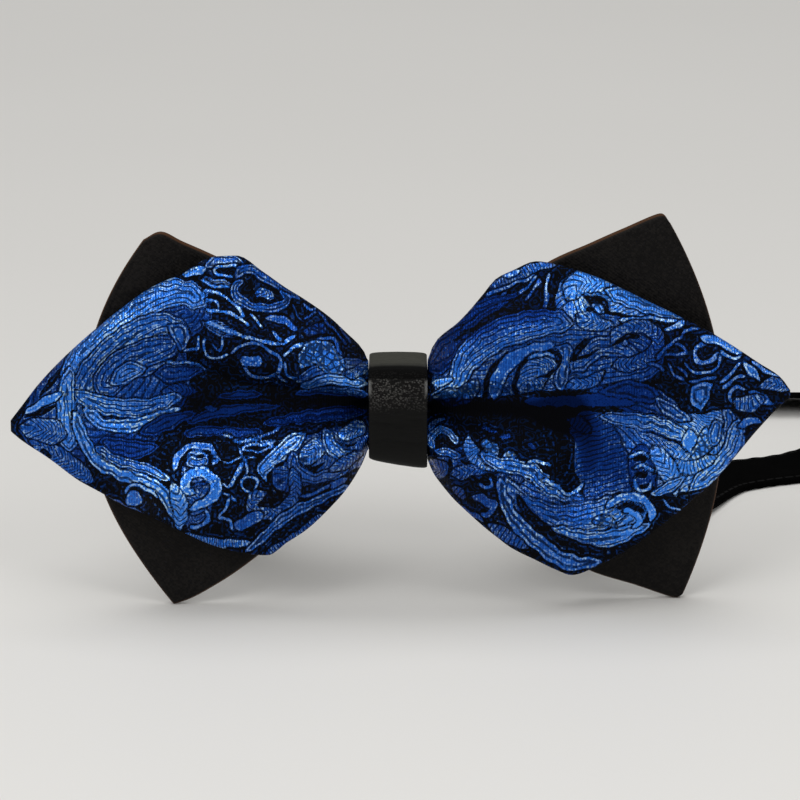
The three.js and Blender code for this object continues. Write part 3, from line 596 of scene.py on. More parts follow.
RIGHT_PATTERN = [
    # The blue grounds that the figures of this wing lie on
    solid([(434, 368), (462, 334), (498, 308), (530, 298)], [16, 22, 15, 4], 0.25, "along", 5),
    solid([(438, 388), (480, 366), (540, 354), (600, 350), (650, 356)],
          [12, 34, 38, 38, 24], 0.45, "along", 5),
    solid([(568, 316), (578, 290), (604, 292), (644, 306), (684, 320)],
          [14, 19, 16, 12, 5], 0.85, "feather", 6),
    solid([(560, 402), (604, 396), (644, 400), (674, 420), (694, 450)],
          [3, 9, 16, 14, 8], 0.35, "along", 6),
    solid([(620, 440), (652, 452), (692, 452), (722, 432)], [16, 38, 38, 22], 0.65, "feather", 5),
    solid([(512, 484), (546, 512), (592, 520), (640, 500)], [12, 24, 28, 18], 0.55, "along", 4.8),
    solid([(438, 464), (478, 464), (522, 480)], [16, 14, 10], 0.35, "feather", 5),
    # The inner half above the valley: a feather, the nested arcs and the teardrop that they hold
    solid([(430, 372), (446, 352), (470, 330)], [10, 14, 10], 0.12, "along", 6),
    solid([(462, 338), (490, 318), (528, 298)], [8, 9, 2], 0.25, "along", 5),
    dark([(452, 341), (484, 322), (510, 311), (534, 302), (554, 296)], [1.5, 2.5, 6, 12, 14]),
    solid([(490, 288), (516, 276), (540, 266), (556, 264)], [3, 5, 5, 2], 0.8, "across", 3.2),
    solid([(500, 275), (510, 273), (520, 270)], [4, 4, 3], 1.0),
    line([(486, 296), (500, 289), (520, 282), (536, 275)], 1.5, 0.9),
    line([(500, 296), (506, 291)], 1.5, 0.8),
    line([(518, 295), (530, 284), (538, 276)], 1.4, 0.9),
    line([(524, 300), (534, 290), (540, 279)], 1.3, 0.8),
    line([(550, 272), (546, 284), (546, 300), (542, 312)], 1.6, 0.9),
    solid([(432, 396), (452, 390), (468, 358), (500, 334), (545, 322), (572, 324)],
          [6, 9, 14, 15, 14, 8], 0.75, "along", 4.6),
    solid([(434, 398), (462, 396), (478, 380)], [7, 9, 7], 0.6, net=1),
    solid([(431, 384), (442, 382), (452, 380)], [4, 4.5, 2], 1.0),
    dark([(484, 402), (488, 380), (498, 362), (520, 348), (550, 342)], [2.5, 3, 2.4, 1.5, 1]),
    solid([(494, 400), (498, 378), (514, 358), (538, 348), (556, 346)], [7, 7, 7, 5, 3], 0.65),
    solid([(556, 346), (566, 352), (562, 372), (560, 392)], [5, 7, 6, 5], 0.55, "along", 6),
    dark([(515, 398), (516, 376), (528, 358), (550, 352), (560, 358), (556, 370)],
         [2.4, 2.4, 2, 2.4, 2, 1.6]),
    solid([(530, 384), (536, 372), (548, 364)], [13, 13, 8], 0.6, "feather", 4.5),
    dark([(534, 378), (546, 376), (554, 368)], [0.8, 1.6, 1.4]),
    line([(528, 359), (544, 353), (556, 358)], 1.4, 0.9),
    solid([(572, 372), (590, 352), (608, 346), (640, 356)], [8, 10, 9, 6], 0.5, "along", 5.5),
    solid([(566, 386), (590, 382), (604, 372)], [5, 6, 4], 0.5, "feather", 4.5),
    dark([(571, 361), (578, 350), (590, 338)], [2, 4.5, 2]),
    dark([(571, 361), (586, 356), (600, 350)], [1.5, 2.2, 1]),
    dark([(520, 394), (560, 393), (612, 396)], [1.6, 3, 3]),
    solid([(567, 300), (578, 284), (600, 284), (616, 296)], [7, 12, 7, 6], 1.0, "feather", 6),
    solid([(576, 316), (592, 322), (612, 326)], [10, 8, 5], 0.75, "feather", 5),
    dark([(584, 297), (598, 303), (610, 314)], [3, 8, 5]),
    solid([(592, 304), (604, 312)], [3, 4], 0.9, net=1),
    # The inner half below the valley
    solid([(430, 432), (434, 422), (446, 418)], [3, 2.5, 1], 0.6),
    solid([(434, 450), (431, 438), (440, 430), (452, 434), (456, 444)],
          [4, 4.5, 4, 4, 4], 0.85, "along", 4.2),
    solid([(434, 450), (446, 452), (462, 456)], [4, 4, 4], 0.6, "along", 4.2),
    dark([(440, 443), (448, 443)], [3, 2.5]),
    solid([(434, 468), (440, 470)], [9, 9], 0.35, "feather", 4.5),
    dark([(430, 480), (444, 480), (451, 468), (448, 458)], [1, 2, 2.4, 2]),
    solid([(450, 474), (464, 472), (480, 468), (500, 466)], [5, 7, 6, 5], 0.5, "feather", 4.5),
    solid([(468, 436), (472, 452), (480, 460), (500, 470)], [7, 7, 6, 5], 0.85, "across", 3.8),
    dark([(460, 460), (470, 464)], [3, 3]),
    dark([(480, 478), (492, 478), (496, 486)], [3, 5, 3]),
    line([(480, 482), (486, 488), (493, 485), (489, 477)], 1.5, 0.7),
    solid([(486, 444), (494, 450)], [5, 6], 1.0, net=1),
    solid([(508, 456), (514, 460)], [5, 6], 1.0, net=1),
    solid([(452, 488), (462, 494), (464, 500)], [4, 5, 3], 0.4, "across", 4.5),
    solid([(472, 496), (484, 500), (494, 506), (488, 514), (480, 514)], [5, 5, 4, 3, 2], 0.5),
    solid([(460, 506), (472, 514), (484, 522)], [1.5, 2.5, 1.5], 0.4),
    solid([(488, 524), (504, 534), (528, 548)], [4, 7, 4], 0.4, "across", 4.5),
    solid([(480, 428), (500, 432)], [2, 2], 0.06),
    solid([(502, 438), (508, 436)], [2.5, 2.5], 0.12),
    solid([(526, 444), (536, 448)], [3, 3], 0.08),
    # The deep blue floor of the valley, the striped leaf and the nested arcs under it
    solid([(524, 402), (570, 401), (640, 399)], [4, 6, 7], 0.02),
    solid([(600, 392), (630, 390), (660, 398)], [3, 9, 9], 0.1, "along", 8),
    solid([(588, 420), (600, 460), (612, 505)], [20, 27, 22], 0.4, "across", 4.4),
    dark([(548, 424), (562, 444), (562, 472), (552, 488)], [6, 12, 10, 3]),
    solid([(566, 420), (580, 424), (590, 434)], [4, 6, 5], 0.5, "across", 4),
    solid([(480, 454), (500, 464), (530, 470), (548, 486), (570, 500)],
          [4, 7, 8, 8, 5], 0.85, "along", 4.6),
    solid([(506, 478), (520, 500), (556, 518), (600, 514), (632, 498)],
          [5, 10, 14, 15, 10], 0.6, "along", 4.8),
    line([(526, 462), (540, 462), (552, 466)], 1.7, 1.0),
    line([(544, 478), (556, 486), (570, 494), (584, 484)], 1.7, 1.0),
    solid([(548, 530), (580, 540), (612, 538), (650, 524)], [8, 9, 8, 4], 0.8, "along", 5),
    solid([(592, 522), (606, 520), (616, 528)], [3, 4, 3], 0.6, net=1),
    dark([(616, 508), (632, 506), (646, 514)], [2, 3, 2]),
    solid([(606, 508), (620, 498), (640, 498), (652, 510), (650, 522)], [3, 4, 4, 4, 3], 0.8),
    solid([(622, 511), (632, 512), (640, 520), (632, 528)], [2, 2.4, 3, 2], 1.0),
    dark([(516, 494), (530, 518), (556, 540), (590, 551), (614, 552)], [2, 7.5, 8, 7, 4]),
    solid([(500, 478), (504, 500), (518, 524), (542, 546), (568, 562), (602, 562)],
          [4, 6, 7, 8, 8, 3], 0.7, "along", 8),
    # The outer half above the valley
    solid([(606, 290), (630, 298), (656, 308), (682, 318)], [6, 9, 7, 3], 1.0, "along", 4.6),
    line([(620, 320), (650, 318), (680, 322)], 1.5, 0.9),
    solid([(664, 330), (678, 326), (684, 320)], [2, 2.5, 2], 0.9),
    solid([(612, 344), (620, 332), (640, 326), (656, 334), (656, 350), (640, 362), (612, 366)],
          [5, 6, 6, 6, 7, 7, 5], 0.55, "feather", 5),
    dark([(614, 344), (626, 338), (640, 336)], [1.5, 4, 1.5]),
    dot((626, 343), 2.5, 0.6),
    line([(664, 352), (674, 343), (686, 353), (664, 355)], 1.4, 0.7),
    line([(657, 360), (664, 348), (680, 338), (684, 330), (700, 329)], 1.4, 0.7),
    line([(712, 338), (702, 344), (695, 354), (700, 363), (712, 360), (721, 352)], 1.9, 0.8),
    line([(684, 363), (692, 371), (706, 373), (718, 366), (722, 352)], 1.5, 0.75),
    line([(668, 364), (674, 374), (684, 380)], 1.4, 0.6),
    line([(678, 366), (688, 378)], 1.2, 0.5),
    line([(648, 364), (660, 366), (664, 372)], 1.4, 0.6),
    line([(690, 382), (704, 380), (718, 376)], 1.3, 0.6),
    solid([(700, 338), (716, 340), (732, 348), (746, 354)], [3, 4, 4, 2], 1.0),
    line([(720, 350), (732, 358), (742, 356)], 1.6, 1.0),
    solid([(744, 362), (752, 372), (760, 380)], [3, 5, 4], 0.9),
    line([(752, 360), (768, 372), (784, 378)], 1.6, 0.9),
    solid([(760, 386), (774, 384), (788, 390)], [6, 7, 6], 0.6, "feather", 4.5),
    solid([(748, 392), (760, 398), (772, 404)], [5, 6, 5], 0.6),
    dark([(768, 397), (778, 398), (788, 398)], [1, 1.2, 1]),
    line([(720, 384), (730, 374), (742, 362)], 1.6, 0.7),
    line([(722, 390), (736, 378), (746, 376)], 1.6, 0.7),
    line([(732, 404), (730, 392), (738, 387), (746, 389)], 1.6, 0.7),
    solid([(740, 404), (750, 404), (758, 400)], [6, 8, 6], 0.6, "across", 4.5),
    # The outer half below the valley: petals, the bright feathers and the bands along the rim
    solid([(700, 410), (700, 394), (712, 384)], [8, 10, 5], 0.75, "along", 9),
    solid([(656, 398), (670, 410), (690, 420)], [4, 6, 5], 0.5, "along", 6),
    solid([(724, 410), (730, 420), (728, 440)], [5, 6, 6], 0.55, "along", 5),
    dark([(678, 402), (686, 412)], [4, 3]),
    dark([(756, 408), (764, 412)], [2.5, 2]),
    solid([(738, 420), (734, 446), (716, 468), (690, 490)], [8, 9, 9, 6], 0.8, "along", 4.6),
    dark([(736, 414), (748, 413), (762, 414)], [1.2, 1.8, 1.2]),
    solid([(738, 428), (750, 421), (762, 422)], [3, 4, 2], 0.7),
    dark([(742, 434), (752, 432)], [3, 2]),
    solid([(600, 416), (630, 420), (660, 426), (690, 440)], [5, 7, 8, 7], 0.85, "along", 4.6),
    solid([(690, 430), (692, 446), (700, 440)], [8, 8, 6], 1.0),
    solid([(706, 428), (704, 446), (692, 462)], [7, 8, 5], 0.9, net=1),
    solid([(716, 426), (714, 440)], [5, 5], 0.5, "along", 4.5),
    dark([(640, 430), (668, 438), (690, 452)], [0.8, 1.6, 1]),
    solid([(640, 448), (644, 470), (642, 492)], [13, 14, 11], 0.15),
    line([(628, 458), (642, 453), (656, 462), (654, 474)], 1.5, 0.95),
    dark([(636, 459), (644, 459)], [3, 3]),
    line([(634, 468), (644, 466), (654, 472)], 1.5, 0.95),
    dark([(638, 474), (644, 474)], [3, 3.5]),
    line([(634, 478), (638, 490), (648, 490), (652, 482)], 1.5, 0.95),
    dark([(640, 487), (645, 486)], [2, 2]),
    solid([(668, 462), (690, 468), (716, 456)], [5, 6, 4], 0.9, "across", 3.4),
    solid([(652, 446), (668, 470), (676, 496)], [6, 10, 7], 1.0, "feather", 6),
    solid([(652, 494), (668, 488), (684, 478)], [5, 5, 4], 0.9, "along", 4.2),
    dark([(656, 506), (666, 501), (684, 502)], [3, 4, 2]),
    line([(662, 500), (672, 508), (682, 510)], 1.4, 0.8),
]

# Painted sheen and painted shade: broad patches where the blue is painted lighter, as where the metal
# threads catch the light, or darker, as where they lie in shade, in pixels of the photograph:
# the middle of each, its half widths, and how much lighter its blue is
PAINTED_SHEEN = table(
    "x y across down lighter",
    (166, 498, 16, 30, 1.0),
    (78, 410, 34, 22, 0.5),
    (110, 330, 40, 22, 0.15),
    (138, 366, 45, 30, 0.25),
    (345, 456, 30, 30, 0.2),
    (355, 388, 18, 14, 0.45),
    (270, 413, 75, 14, -0.8),
    (240, 345, 50, 34, -0.25),
    (120, 450, 30, 14, -0.2),
    (594, 288, 24, 20, 0.8),
    (696, 456, 22, 38, 1.1),
    (640, 520, 45, 18, 0.6),
    (448, 390, 24, 12, 0.45),
    (556, 372, 40, 20, 0.1),
    (668, 352, 40, 28, -0.35),
    (606, 455, 24, 34, -0.3),
    (500, 296, 55, 34, -0.45),
    (476, 328, 26, 15, -0.6),
    (532, 311, 32, 12, -0.6),
    (625, 409, 26, 12, -0.4),
    (470, 495, 26, 26, -0.25),
    (545, 505, 30, 20, -0.15),
)

# How the figures meet: a black line round each, and the margin in which a figure is looked up
FIGURE_MOAT = 1.7
OUTLINE_HALF = 1.3
LOOK_UP_MARGIN = 9
FAR_FROM_FIGURES = 30
GROUND_TONE = 0.4
SAMPLE_STEP = 0.9
WIDEST_TAPER = 7
TAPER_LENGTH = 1.8
TAPER_BLUNTNESS = 0.7
FEATHER_LEAN = 1.1
WOBBLE = 0.8
WOBBLE_LENGTH = 16
WOBBLE_SEEDS = (31, 32)


def smooth_through(places, count):
    """Points along a smooth curve through the given ones."""
    places = np.asarray(places, float)
    if len(places) == 1:
        return places
    ends = np.vstack([2 * places[0] - places[1], places, 2 * places[-1] - places[-2]])
    t = np.linspace(0, len(places) - 1, count)
    i = np.minimum(t.astype(int), len(places) - 2)
    f = (t - i)[:, None]
    a, b, c, d = (ends[i + k] for k in range(4))
    twice = 2 * b + (c - a) * f + (2 * a - 5 * b + 4 * c - d) * f ** 2 + (3 * b - a - 3 * c + d) * f ** 3
    return twice / 2


def stroke_samples(row):
    """Centres, half widths and lengths so far along the stroke of a figure."""
    rough = np.asarray(row["through"], float)
    length = np.sum(np.hypot(*np.diff(rough, axis=0).T)) if len(rough) > 1 else 0
    centres = smooth_through(rough, max(2, int(length / SAMPLE_STEP)))
    so_far = np.concatenate([[0], np.cumsum(np.hypot(*np.diff(centres, axis=0).T))])
    shares = so_far / max(so_far[-1], 1e-6)
    half = np.interp(shares, np.linspace(0, 1, len(row["half"])), row["half"])
    if so_far[-1] > 3 * half.max():
        from_end = np.minimum(so_far, so_far[-1] - so_far)
        tapering = TAPER_LENGTH * np.minimum(half, WIDEST_TAPER) + 0.1
        half = half * np.clip(from_end / tapering, 0.05, 1) ** TAPER_BLUNTNESS
    return centres, half, so_far


def fine_lines(row, distance, length):
    """A coordinate that grows by one from each fine line of a figure to the next."""
    if row["lines"] == "along":
        return distance / row["gap"] + 0.5
    if row["lines"] == "across":
        return length / row["gap"]
    if row["lines"] == "feather":
        return (length + FEATHER_LEAN * distance) / row["gap"]
    return np.full(len(distance), 0.5)


def weave_pattern(places):
    """The fields that the brocade's material reads, at places in the photograph."""
    unit = WOBBLE_LENGTH
    wobble = [ripple(places[:, 0] / unit, places[:, 1] / unit, seed) for seed in WOBBLE_SEEDS]
    places = places + WOBBLE * np.stack(wobble, axis=-1)
    far = FAR_FROM_FIGURES
    start = {"figure": far, "edge": far, "lines": 0.5, "tone": GROUND_TONE, "net": 0}
    fields = {name: np.full(len(places), float(value)) for name, value in start.items()}
    for row in [*LEFT_PATTERN, *RIGHT_PATTERN]:
        near, distance, length = measure_figure(row, places)
        paint_figure(row, fields, near, distance, length)
    # Painted sheen and painted shade: broad patches added to the tone
    for patch in PAINTED_SHEEN:
        off = ((places - (patch["x"], patch["y"])) / (patch["across"], patch["down"])) ** 2
        fields["tone"] += patch["lighter"] * np.exp(-off.sum(axis=1))
    return fields


def measure_figure(row, places):
    """The places near a figure, how far each is outside its rim, and how far along its stroke."""
    centres, half, so_far = stroke_samples(row)
    low = (centres - half[:, None]).min(axis=0) - LOOK_UP_MARGIN
    high = (centres + half[:, None]).max(axis=0) + LOOK_UP_MARGIN
    near = np.nonzero(np.all((places > low) & (places < high), axis=1))[0]
    distance = np.full(len(near), float(FAR_FROM_FIGURES))
    length = np.zeros(len(near))
    ways = np.gradient(centres, axis=0) if len(centres) > 1 else np.zeros((1, 2))
    ways = ways / np.maximum(np.linalg.norm(ways, axis=1, keepdims=True), 1e-6)
    for centre, way, radius, travelled in zip(centres, ways, half, so_far):
        offset = places[near] - centre
        here = np.hypot(*offset.T) - radius
        closer = here < distance
        distance = np.where(closer, here, distance)
        length = np.where(closer, travelled + offset @ way, length)
    return near, distance, length


def paint_figure(row, fields, near, distance, length):
    """Lays one figure over those already there."""
    old = fields["figure"][near]
    inside = distance < 0
    edge = np.where(inside, distance, np.minimum(fields["edge"][near], distance))
    if row["kind"] == "solid":
        moat = FIGURE_MOAT - distance
        new = np.where(distance <= FIGURE_MOAT / 2, distance, np.maximum(old, moat))
    elif row["kind"] == "dark":
        new = np.maximum(old, -distance)
        edge = np.where(inside, -distance, edge)
    else:
        ring = np.abs(distance) - OUTLINE_HALF
        moat = FIGURE_MOAT + OUTLINE_HALF - distance
        new = np.where(distance <= OUTLINE_HALF + FIGURE_MOAT / 2, ring, np.maximum(old, moat))
    fields["figure"][near] = new
    fields["edge"][near] = edge
    for name, value in [
        ("lines", fine_lines(row, distance, length)),
        ("tone", row["tone"]),
        ("net", row["net"]),
    ]:
        fields[name][near] = np.where(distance < 1, value, fields[name][near])


# The patterned front layer

LEFT_FRONT = {
    "way": -1, "reach": LEFT_REACH, "rise": LEFT_RISE, "drop": LEFT_DROP,
    "outline": LEFT_OUTLINE, "folds": [*LEFT_FOLDS, *LEFT_GATHERS], "seed": 11,
}
RIGHT_FRONT = {
    "way": 1, "reach": RIGHT_REACH, "rise": RIGHT_RISE, "drop": RIGHT_DROP,
    "outline": RIGHT_OUTLINE, "folds": [*RIGHT_FOLDS, *RIGHT_GATHERS], "seed": 12,
}
KNOT_OVERHANG = 0.02
WING_START = 0.08
EDGE_ROUND = 1.3
EDGE_LEFT = 0.25
FLAT_TO_EDGE = 5
SHOULDER_ROUND = 1.4
SHOULDER_DROP = 1.2
STEEPEST_THICKENING = 2
CLOTH_RIPPLE = 0.16
CLOTH_RIPPLE_LENGTH = 9


def fold_rise(fold, side, along, up):
    """How much one fold raises the cloth at places of its wing."""
    size = np.array([side["reach"], side["rise"]])
    start, middle, end = (np.array(fold[name]) * size for name in ("from", "mid", "to"))
    shares = np.linspace(0, 1, FOLD_SAMPLES)
    nearest = np.full(up.shape, np.inf)
    share_there = np.zeros(up.shape)
    for share, point in zip(shares, bezier(start, middle, end, shares)):
        distance = np.hypot(along * side["reach"] - point[0], up - point[1])
        closer = distance < nearest
        nearest = np.where(closer, distance, nearest)
        share_there = np.where(closer, share, share_there)
    width = mix(*fold["width"], share_there) * side["rise"]
    height = mix(*fold["height"], share_there) * FOLD_HEIGHT
    return height * np.exp(-((nearest / width) ** 2))


def knot_face_y(across):
    """The front face of the cloth inside the knot: two pleats that touch the band's inner face."""
    valley_y = knot_back_y - FRONT_CLOTH - FIT_GAP
    return mix(knot_front_y, valley_y, (1 + np.cos(2 * np.pi * across)) / 2)


def left_knot(side, along):
    """0 inside the band and 1 where the cloth has left the knot behind."""
    return eased(band_half_width, 2 * band_half_width, along * side["reach"])


def rear_limit(side, along):
    """The furthest back that the cloth may reach, clear of the layer behind it."""
    forward_most = max(column(BACK_LEFT_SECTIONS, "topSwing"))
    wing_limit = back_cloth_front_y - BACK_PLEAT - forward_most * BACK_SWING - FIT_GAP
    return mix(knot_back_y, wing_limit, left_knot(side, along))


def front_edges(side, x, along):
    """Top and bottom of half the layer at its stations, from the knot to the tip."""
    in_knot = x <= band_half_width + KNOT_OVERHANG
    shoulder = SHOULDER_DROP * (1 - np.clip((x - band_half_width) / SHOULDER_ROUND, 0, 1)) ** 2
    edges = []
    for name, size in (("top", side["rise"]), ("bottom", side["drop"])):
        share = curve_through(column(side["outline"], "along"), column(side["outline"], name))(along)
        edges.append(np.where(in_knot, knot_half_height, share * size - shoulder))
    return edges


def front_half(side):
    """Front and rear points of half the layer, and how deep its valleys are, from the knot to the tip."""
    knot_x = np.linspace(0, band_half_width + KNOT_OVERHANG, KNOT_STATIONS)
    wing_x = np.linspace(band_half_width + WING_START, side["reach"], FRONT_WING_STATIONS)
    x = np.concatenate([knot_x, wing_x])[:, None]
    along = x / side["reach"]
    across = rows_across(FRONT_ROWS)
    top, bottom = front_edges(side, x, along)
    up = mix(-bottom, top, (across + 1) / 2)
    rises = [fold_rise(fold, side, along, up) for fold in side["folds"]]
    sunk = -np.sum(np.minimum(rises, 0), axis=0) / FOLD_HEIGHT
    unit = CLOTH_RIPPLE_LENGTH
    uneven = CLOTH_RIPPLE * ripple(x / unit, up / unit, side["seed"])
    raised = sum(rises) * (1 - np.abs(across) ** FLAT_TO_EDGE) + uneven
    wing_y = front_edge_y - np.maximum(-VALLEY_SHARE * LAYER_GAP, raised)
    face_y = mix(knot_face_y(across) + 0 * x, wing_y, left_knot(side, along))
    slope = np.gradient(face_y, axis=1) / np.maximum(np.gradient(up, axis=1), 1e-4)
    slant = np.minimum(STEEPEST_THICKENING, np.hypot(1, slope))
    rear_y = np.minimum(face_y + FRONT_CLOTH * slant, rear_limit(side, along))
    from_edge = np.minimum((1 - np.abs(across)) * (top + bottom) / 2, (1 - along) * side["reach"])
    half = (rear_y - face_y) / 2 * edge_rounding(from_edge, EDGE_ROUND, EDGE_LEFT)
    front, rear = front_and_rear(side["way"] * x, (rear_y + face_y) / 2, half, up)
    return front, rear, sunk


def make_front_bow():
    halves = zip(front_half(LEFT_FRONT), front_half(RIGHT_FRONT))
    front, rear, sunk = (np.concatenate([left[::-1], right[1:]]) for left, right in halves)
    rows, columns = front.shape[:2]
    lining = rear[::LINING_STRIDE, ::LINING_STRIDE]
    points = np.concatenate([front.reshape(-1, 3), lining.reshape(-1, 3)])
    piece = make_object("front_bow_cloth", points, sheet_faces(rows, columns, LINING_STRIDE))
    places = place_in_photo(points)
    for name, values in weave_pattern(places).items():
        give_value(piece, name, values)
    give_value(piece, "sunk", np.concatenate([sunk.ravel(), np.zeros(lining[..., 0].size)]))
    give_place(piece, "cloth", np.column_stack([places, np.zeros(len(places))]))
    piece.data.materials.append(brocade_material())
    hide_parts("front_bow")
    return piece


# The plain back layer

LEFT_BACK = {
    "way": -1, "reach": BACK_LEFT_REACH, "rise": BACK_LEFT_RISE, "sections": BACK_LEFT_SECTIONS,
}
RIGHT_BACK = {
    "way": 1, "reach": BACK_RIGHT_REACH, "rise": BACK_RIGHT_RISE, "sections": BACK_RIGHT_SECTIONS,
}
CROWDED_OUTWARD = 1.35
PLEAT_WIDTH = 0.16
PLEAT_FULL_AT = 0.2
PLEAT_FADES_FROM = 0.35
BACK_RIPPLE = 0.1
BACK_RIPPLE_LENGTH = 16
BACK_RIPPLE_SEED = 21
BACK_EDGE_ROUND = 0.9
BACK_EDGE_LEFT = 0.2


def back_pleat_at(across, outward):
    """How much the pleats raise the back layer."""
    raised = sum(
        row["height"] * np.exp(-(((across - row["up"]) / PLEAT_WIDTH) ** 2)) for row in BACK_PLEATS
    )
    return raised * BACK_PLEAT * eased(0, PLEAT_FULL_AT, outward) * (1 - eased(PLEAT_FADES_FROM, 1, outward))


def back_half(side):
    """Front and rear points of half the back layer, and how far each is from the cloth's edge."""
    root_along = knot_half_width / side["reach"]
    root = {
        "topAt": root_along, "top": knot_half_height / side["rise"], "lowAt": root_along,
        "low": knot_half_height / KNOT_HEIGHT, "bulge": 0, "topSwing": 0, "lowSwing": 0,
    }
    sections = [root, *side["sections"]]
    places = np.linspace(0, 1, len(sections))
    outward = 1 - (1 - np.linspace(0, 1, BACK_STATIONS + 1)[:, None]) ** CROWDED_OUTWARD
    row = {name: curve_through(places, column(sections, name))(outward) for name in root}
    across = rows_across(BACK_ROWS)
    share = (across + 1) / 2
    bulge = row["bulge"] * (1 - across * across) * (1 + BACK_BULGE_RISE * across)
    x = side["way"] * (mix(row["lowAt"], row["topAt"], share) + bulge) * side["reach"]
    z = mix(-row["low"] * KNOT_HEIGHT, row["top"] * side["rise"], share)
    forward = mix(row["lowSwing"], row["topSwing"], share) * BACK_SWING
    settled = (1 - across ** 4) * eased(0, PLEAT_FULL_AT, outward)
    unit = BACK_RIPPLE_LENGTH
    wave = BACK_RIPPLE * ripple(x / unit, z / unit, BACK_RIPPLE_SEED) * settled
    face_y = back_cloth_front_y - forward - back_pleat_at(across, outward) - wave
    height = row["top"] * side["rise"] + row["low"] * KNOT_HEIGHT
    from_side = (1 - np.abs(across)) * height / 2
    step_out = np.abs(np.gradient(x, axis=0))
    from_tip = np.cumsum(step_out[::-1], axis=0)[::-1] - step_out / 2
    from_edge = np.minimum(from_side, np.maximum(from_tip, 0))
    half = BACK_CLOTH / 2 * edge_rounding(from_edge, BACK_EDGE_ROUND, BACK_EDGE_LEFT)
    front, rear = front_and_rear(x, face_y + BACK_CLOTH / 2, half, z)
    return front, rear, from_edge


def make_back_bow():
    halves = zip(back_half(LEFT_BACK), back_half(RIGHT_BACK))
    front, rear, from_edge = (np.concatenate([left[::-1], right[:-1]]) for left, right in halves)
    rows, columns = front.shape[:2]
    points = np.concatenate([front.reshape(-1, 3), rear.reshape(-1, 3)])
    piece = make_object("back_bow_cloth", points, sheet_faces(rows, columns, 1))
    give_value(piece, "from_edge", np.concatenate([from_edge.ravel(), from_edge.ravel()]))
    piece.data.materials.append(satin_material())
    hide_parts("back_bow")
    return piece


# The neck ribbon

RIBBON_STITCH_FROM_EDGE = 1.2
RIBBON_PUCKER = 0.12
RIBBON_PUCKER_TURN = 1.9
PUCKERED_SHARES = (0.1, 0.9)
RIBBON_EDGE_FROM = 0.8
RIBBON_EDGE_THINNING = 0.12
RIBBON_FLAT_SHARE = 0.96
RIBBON_FLAT_POINTS = 13
RIBBON_RIB = 0.55


def centripetal_curve(points):
    """The smooth curve that the part's source lays through its route: places and directions."""
    before = 2 * points[0] - points[1]
    after = 2 * points[-1] - points[-2]
    padded = np.vstack([before, points, after])

    def place(share):
        at = share * (len(points) - 1)
        i = min(int(at), len(points) - 2)
        weight = at - i
        p = padded[i:i + 4]
        first, second, third = np.maximum(np.linalg.norm(np.diff(p, axis=0), axis=1) ** 0.5, 1e-4)
        start = (p[1] - p[0]) / first - (p[2] - p[0]) / (first + second) + (p[2] - p[1]) / second
        end = (p[2] - p[1]) / second - (p[3] - p[1]) / (second + third) + (p[3] - p[2]) / third
        start *= second
        end *= second
        cubic = 2 * p[1] - 2 * p[2] + start + end
        square = -3 * p[1] + 3 * p[2] - 2 * start - end
        return cubic * weight ** 3 + square * weight ** 2 + start * weight + p[1]

    def direction(share):
        step = place(min(1, share + 1e-4)) - place(max(0, share - 1e-4))
        return step / np.linalg.norm(step)

    return place, direction


def strap_route():
    """Out of the clasp, round the right side, straight through the knot, and round the left side."""
    def clasp_end(way):
        across = way * (CLASP_LENGTH / 2 - CLASP_SLOT_DEPTH + FIT_GAP) / LOOP_ACROSS
        return {"across": across, "away": 1, "lean": 90, "lift": 0, "width": 1}

    def in_knot(x):
        return {
            "across": x / LOOP_ACROSS, "away": strap_middle_y / LOOP_AWAY,
            "lean": 0, "lift": 1, "width": strap_knot_width / STRAP_WIDTH,
        }

    outside = knot_half_width + STRAIGHT_THROUGH_KNOT
    knot = [in_knot(x) for x in (outside, knot_half_width, -knot_half_width, -outside)]
    return [clasp_end(1), *RIGHT_ROUTE[::-1], *knot, *LEFT_ROUTE, clasp_end(-1)]


def strap_section():
    """Places round a ribbon's section: across its width and its thickness, each from -1 to 1."""
    flat = np.linspace(-RIBBON_FLAT_SHARE, RIBBON_FLAT_SHARE, RIBBON_FLAT_POINTS)
    inner = [(w, -1) for w in flat] + [(1, -0.5), (1, 0.5)]
    outer = [(w, 1) for w in flat[::-1]] + [(-1, 0.5), (-1, -0.5)]
    return np.array(inner + outer)


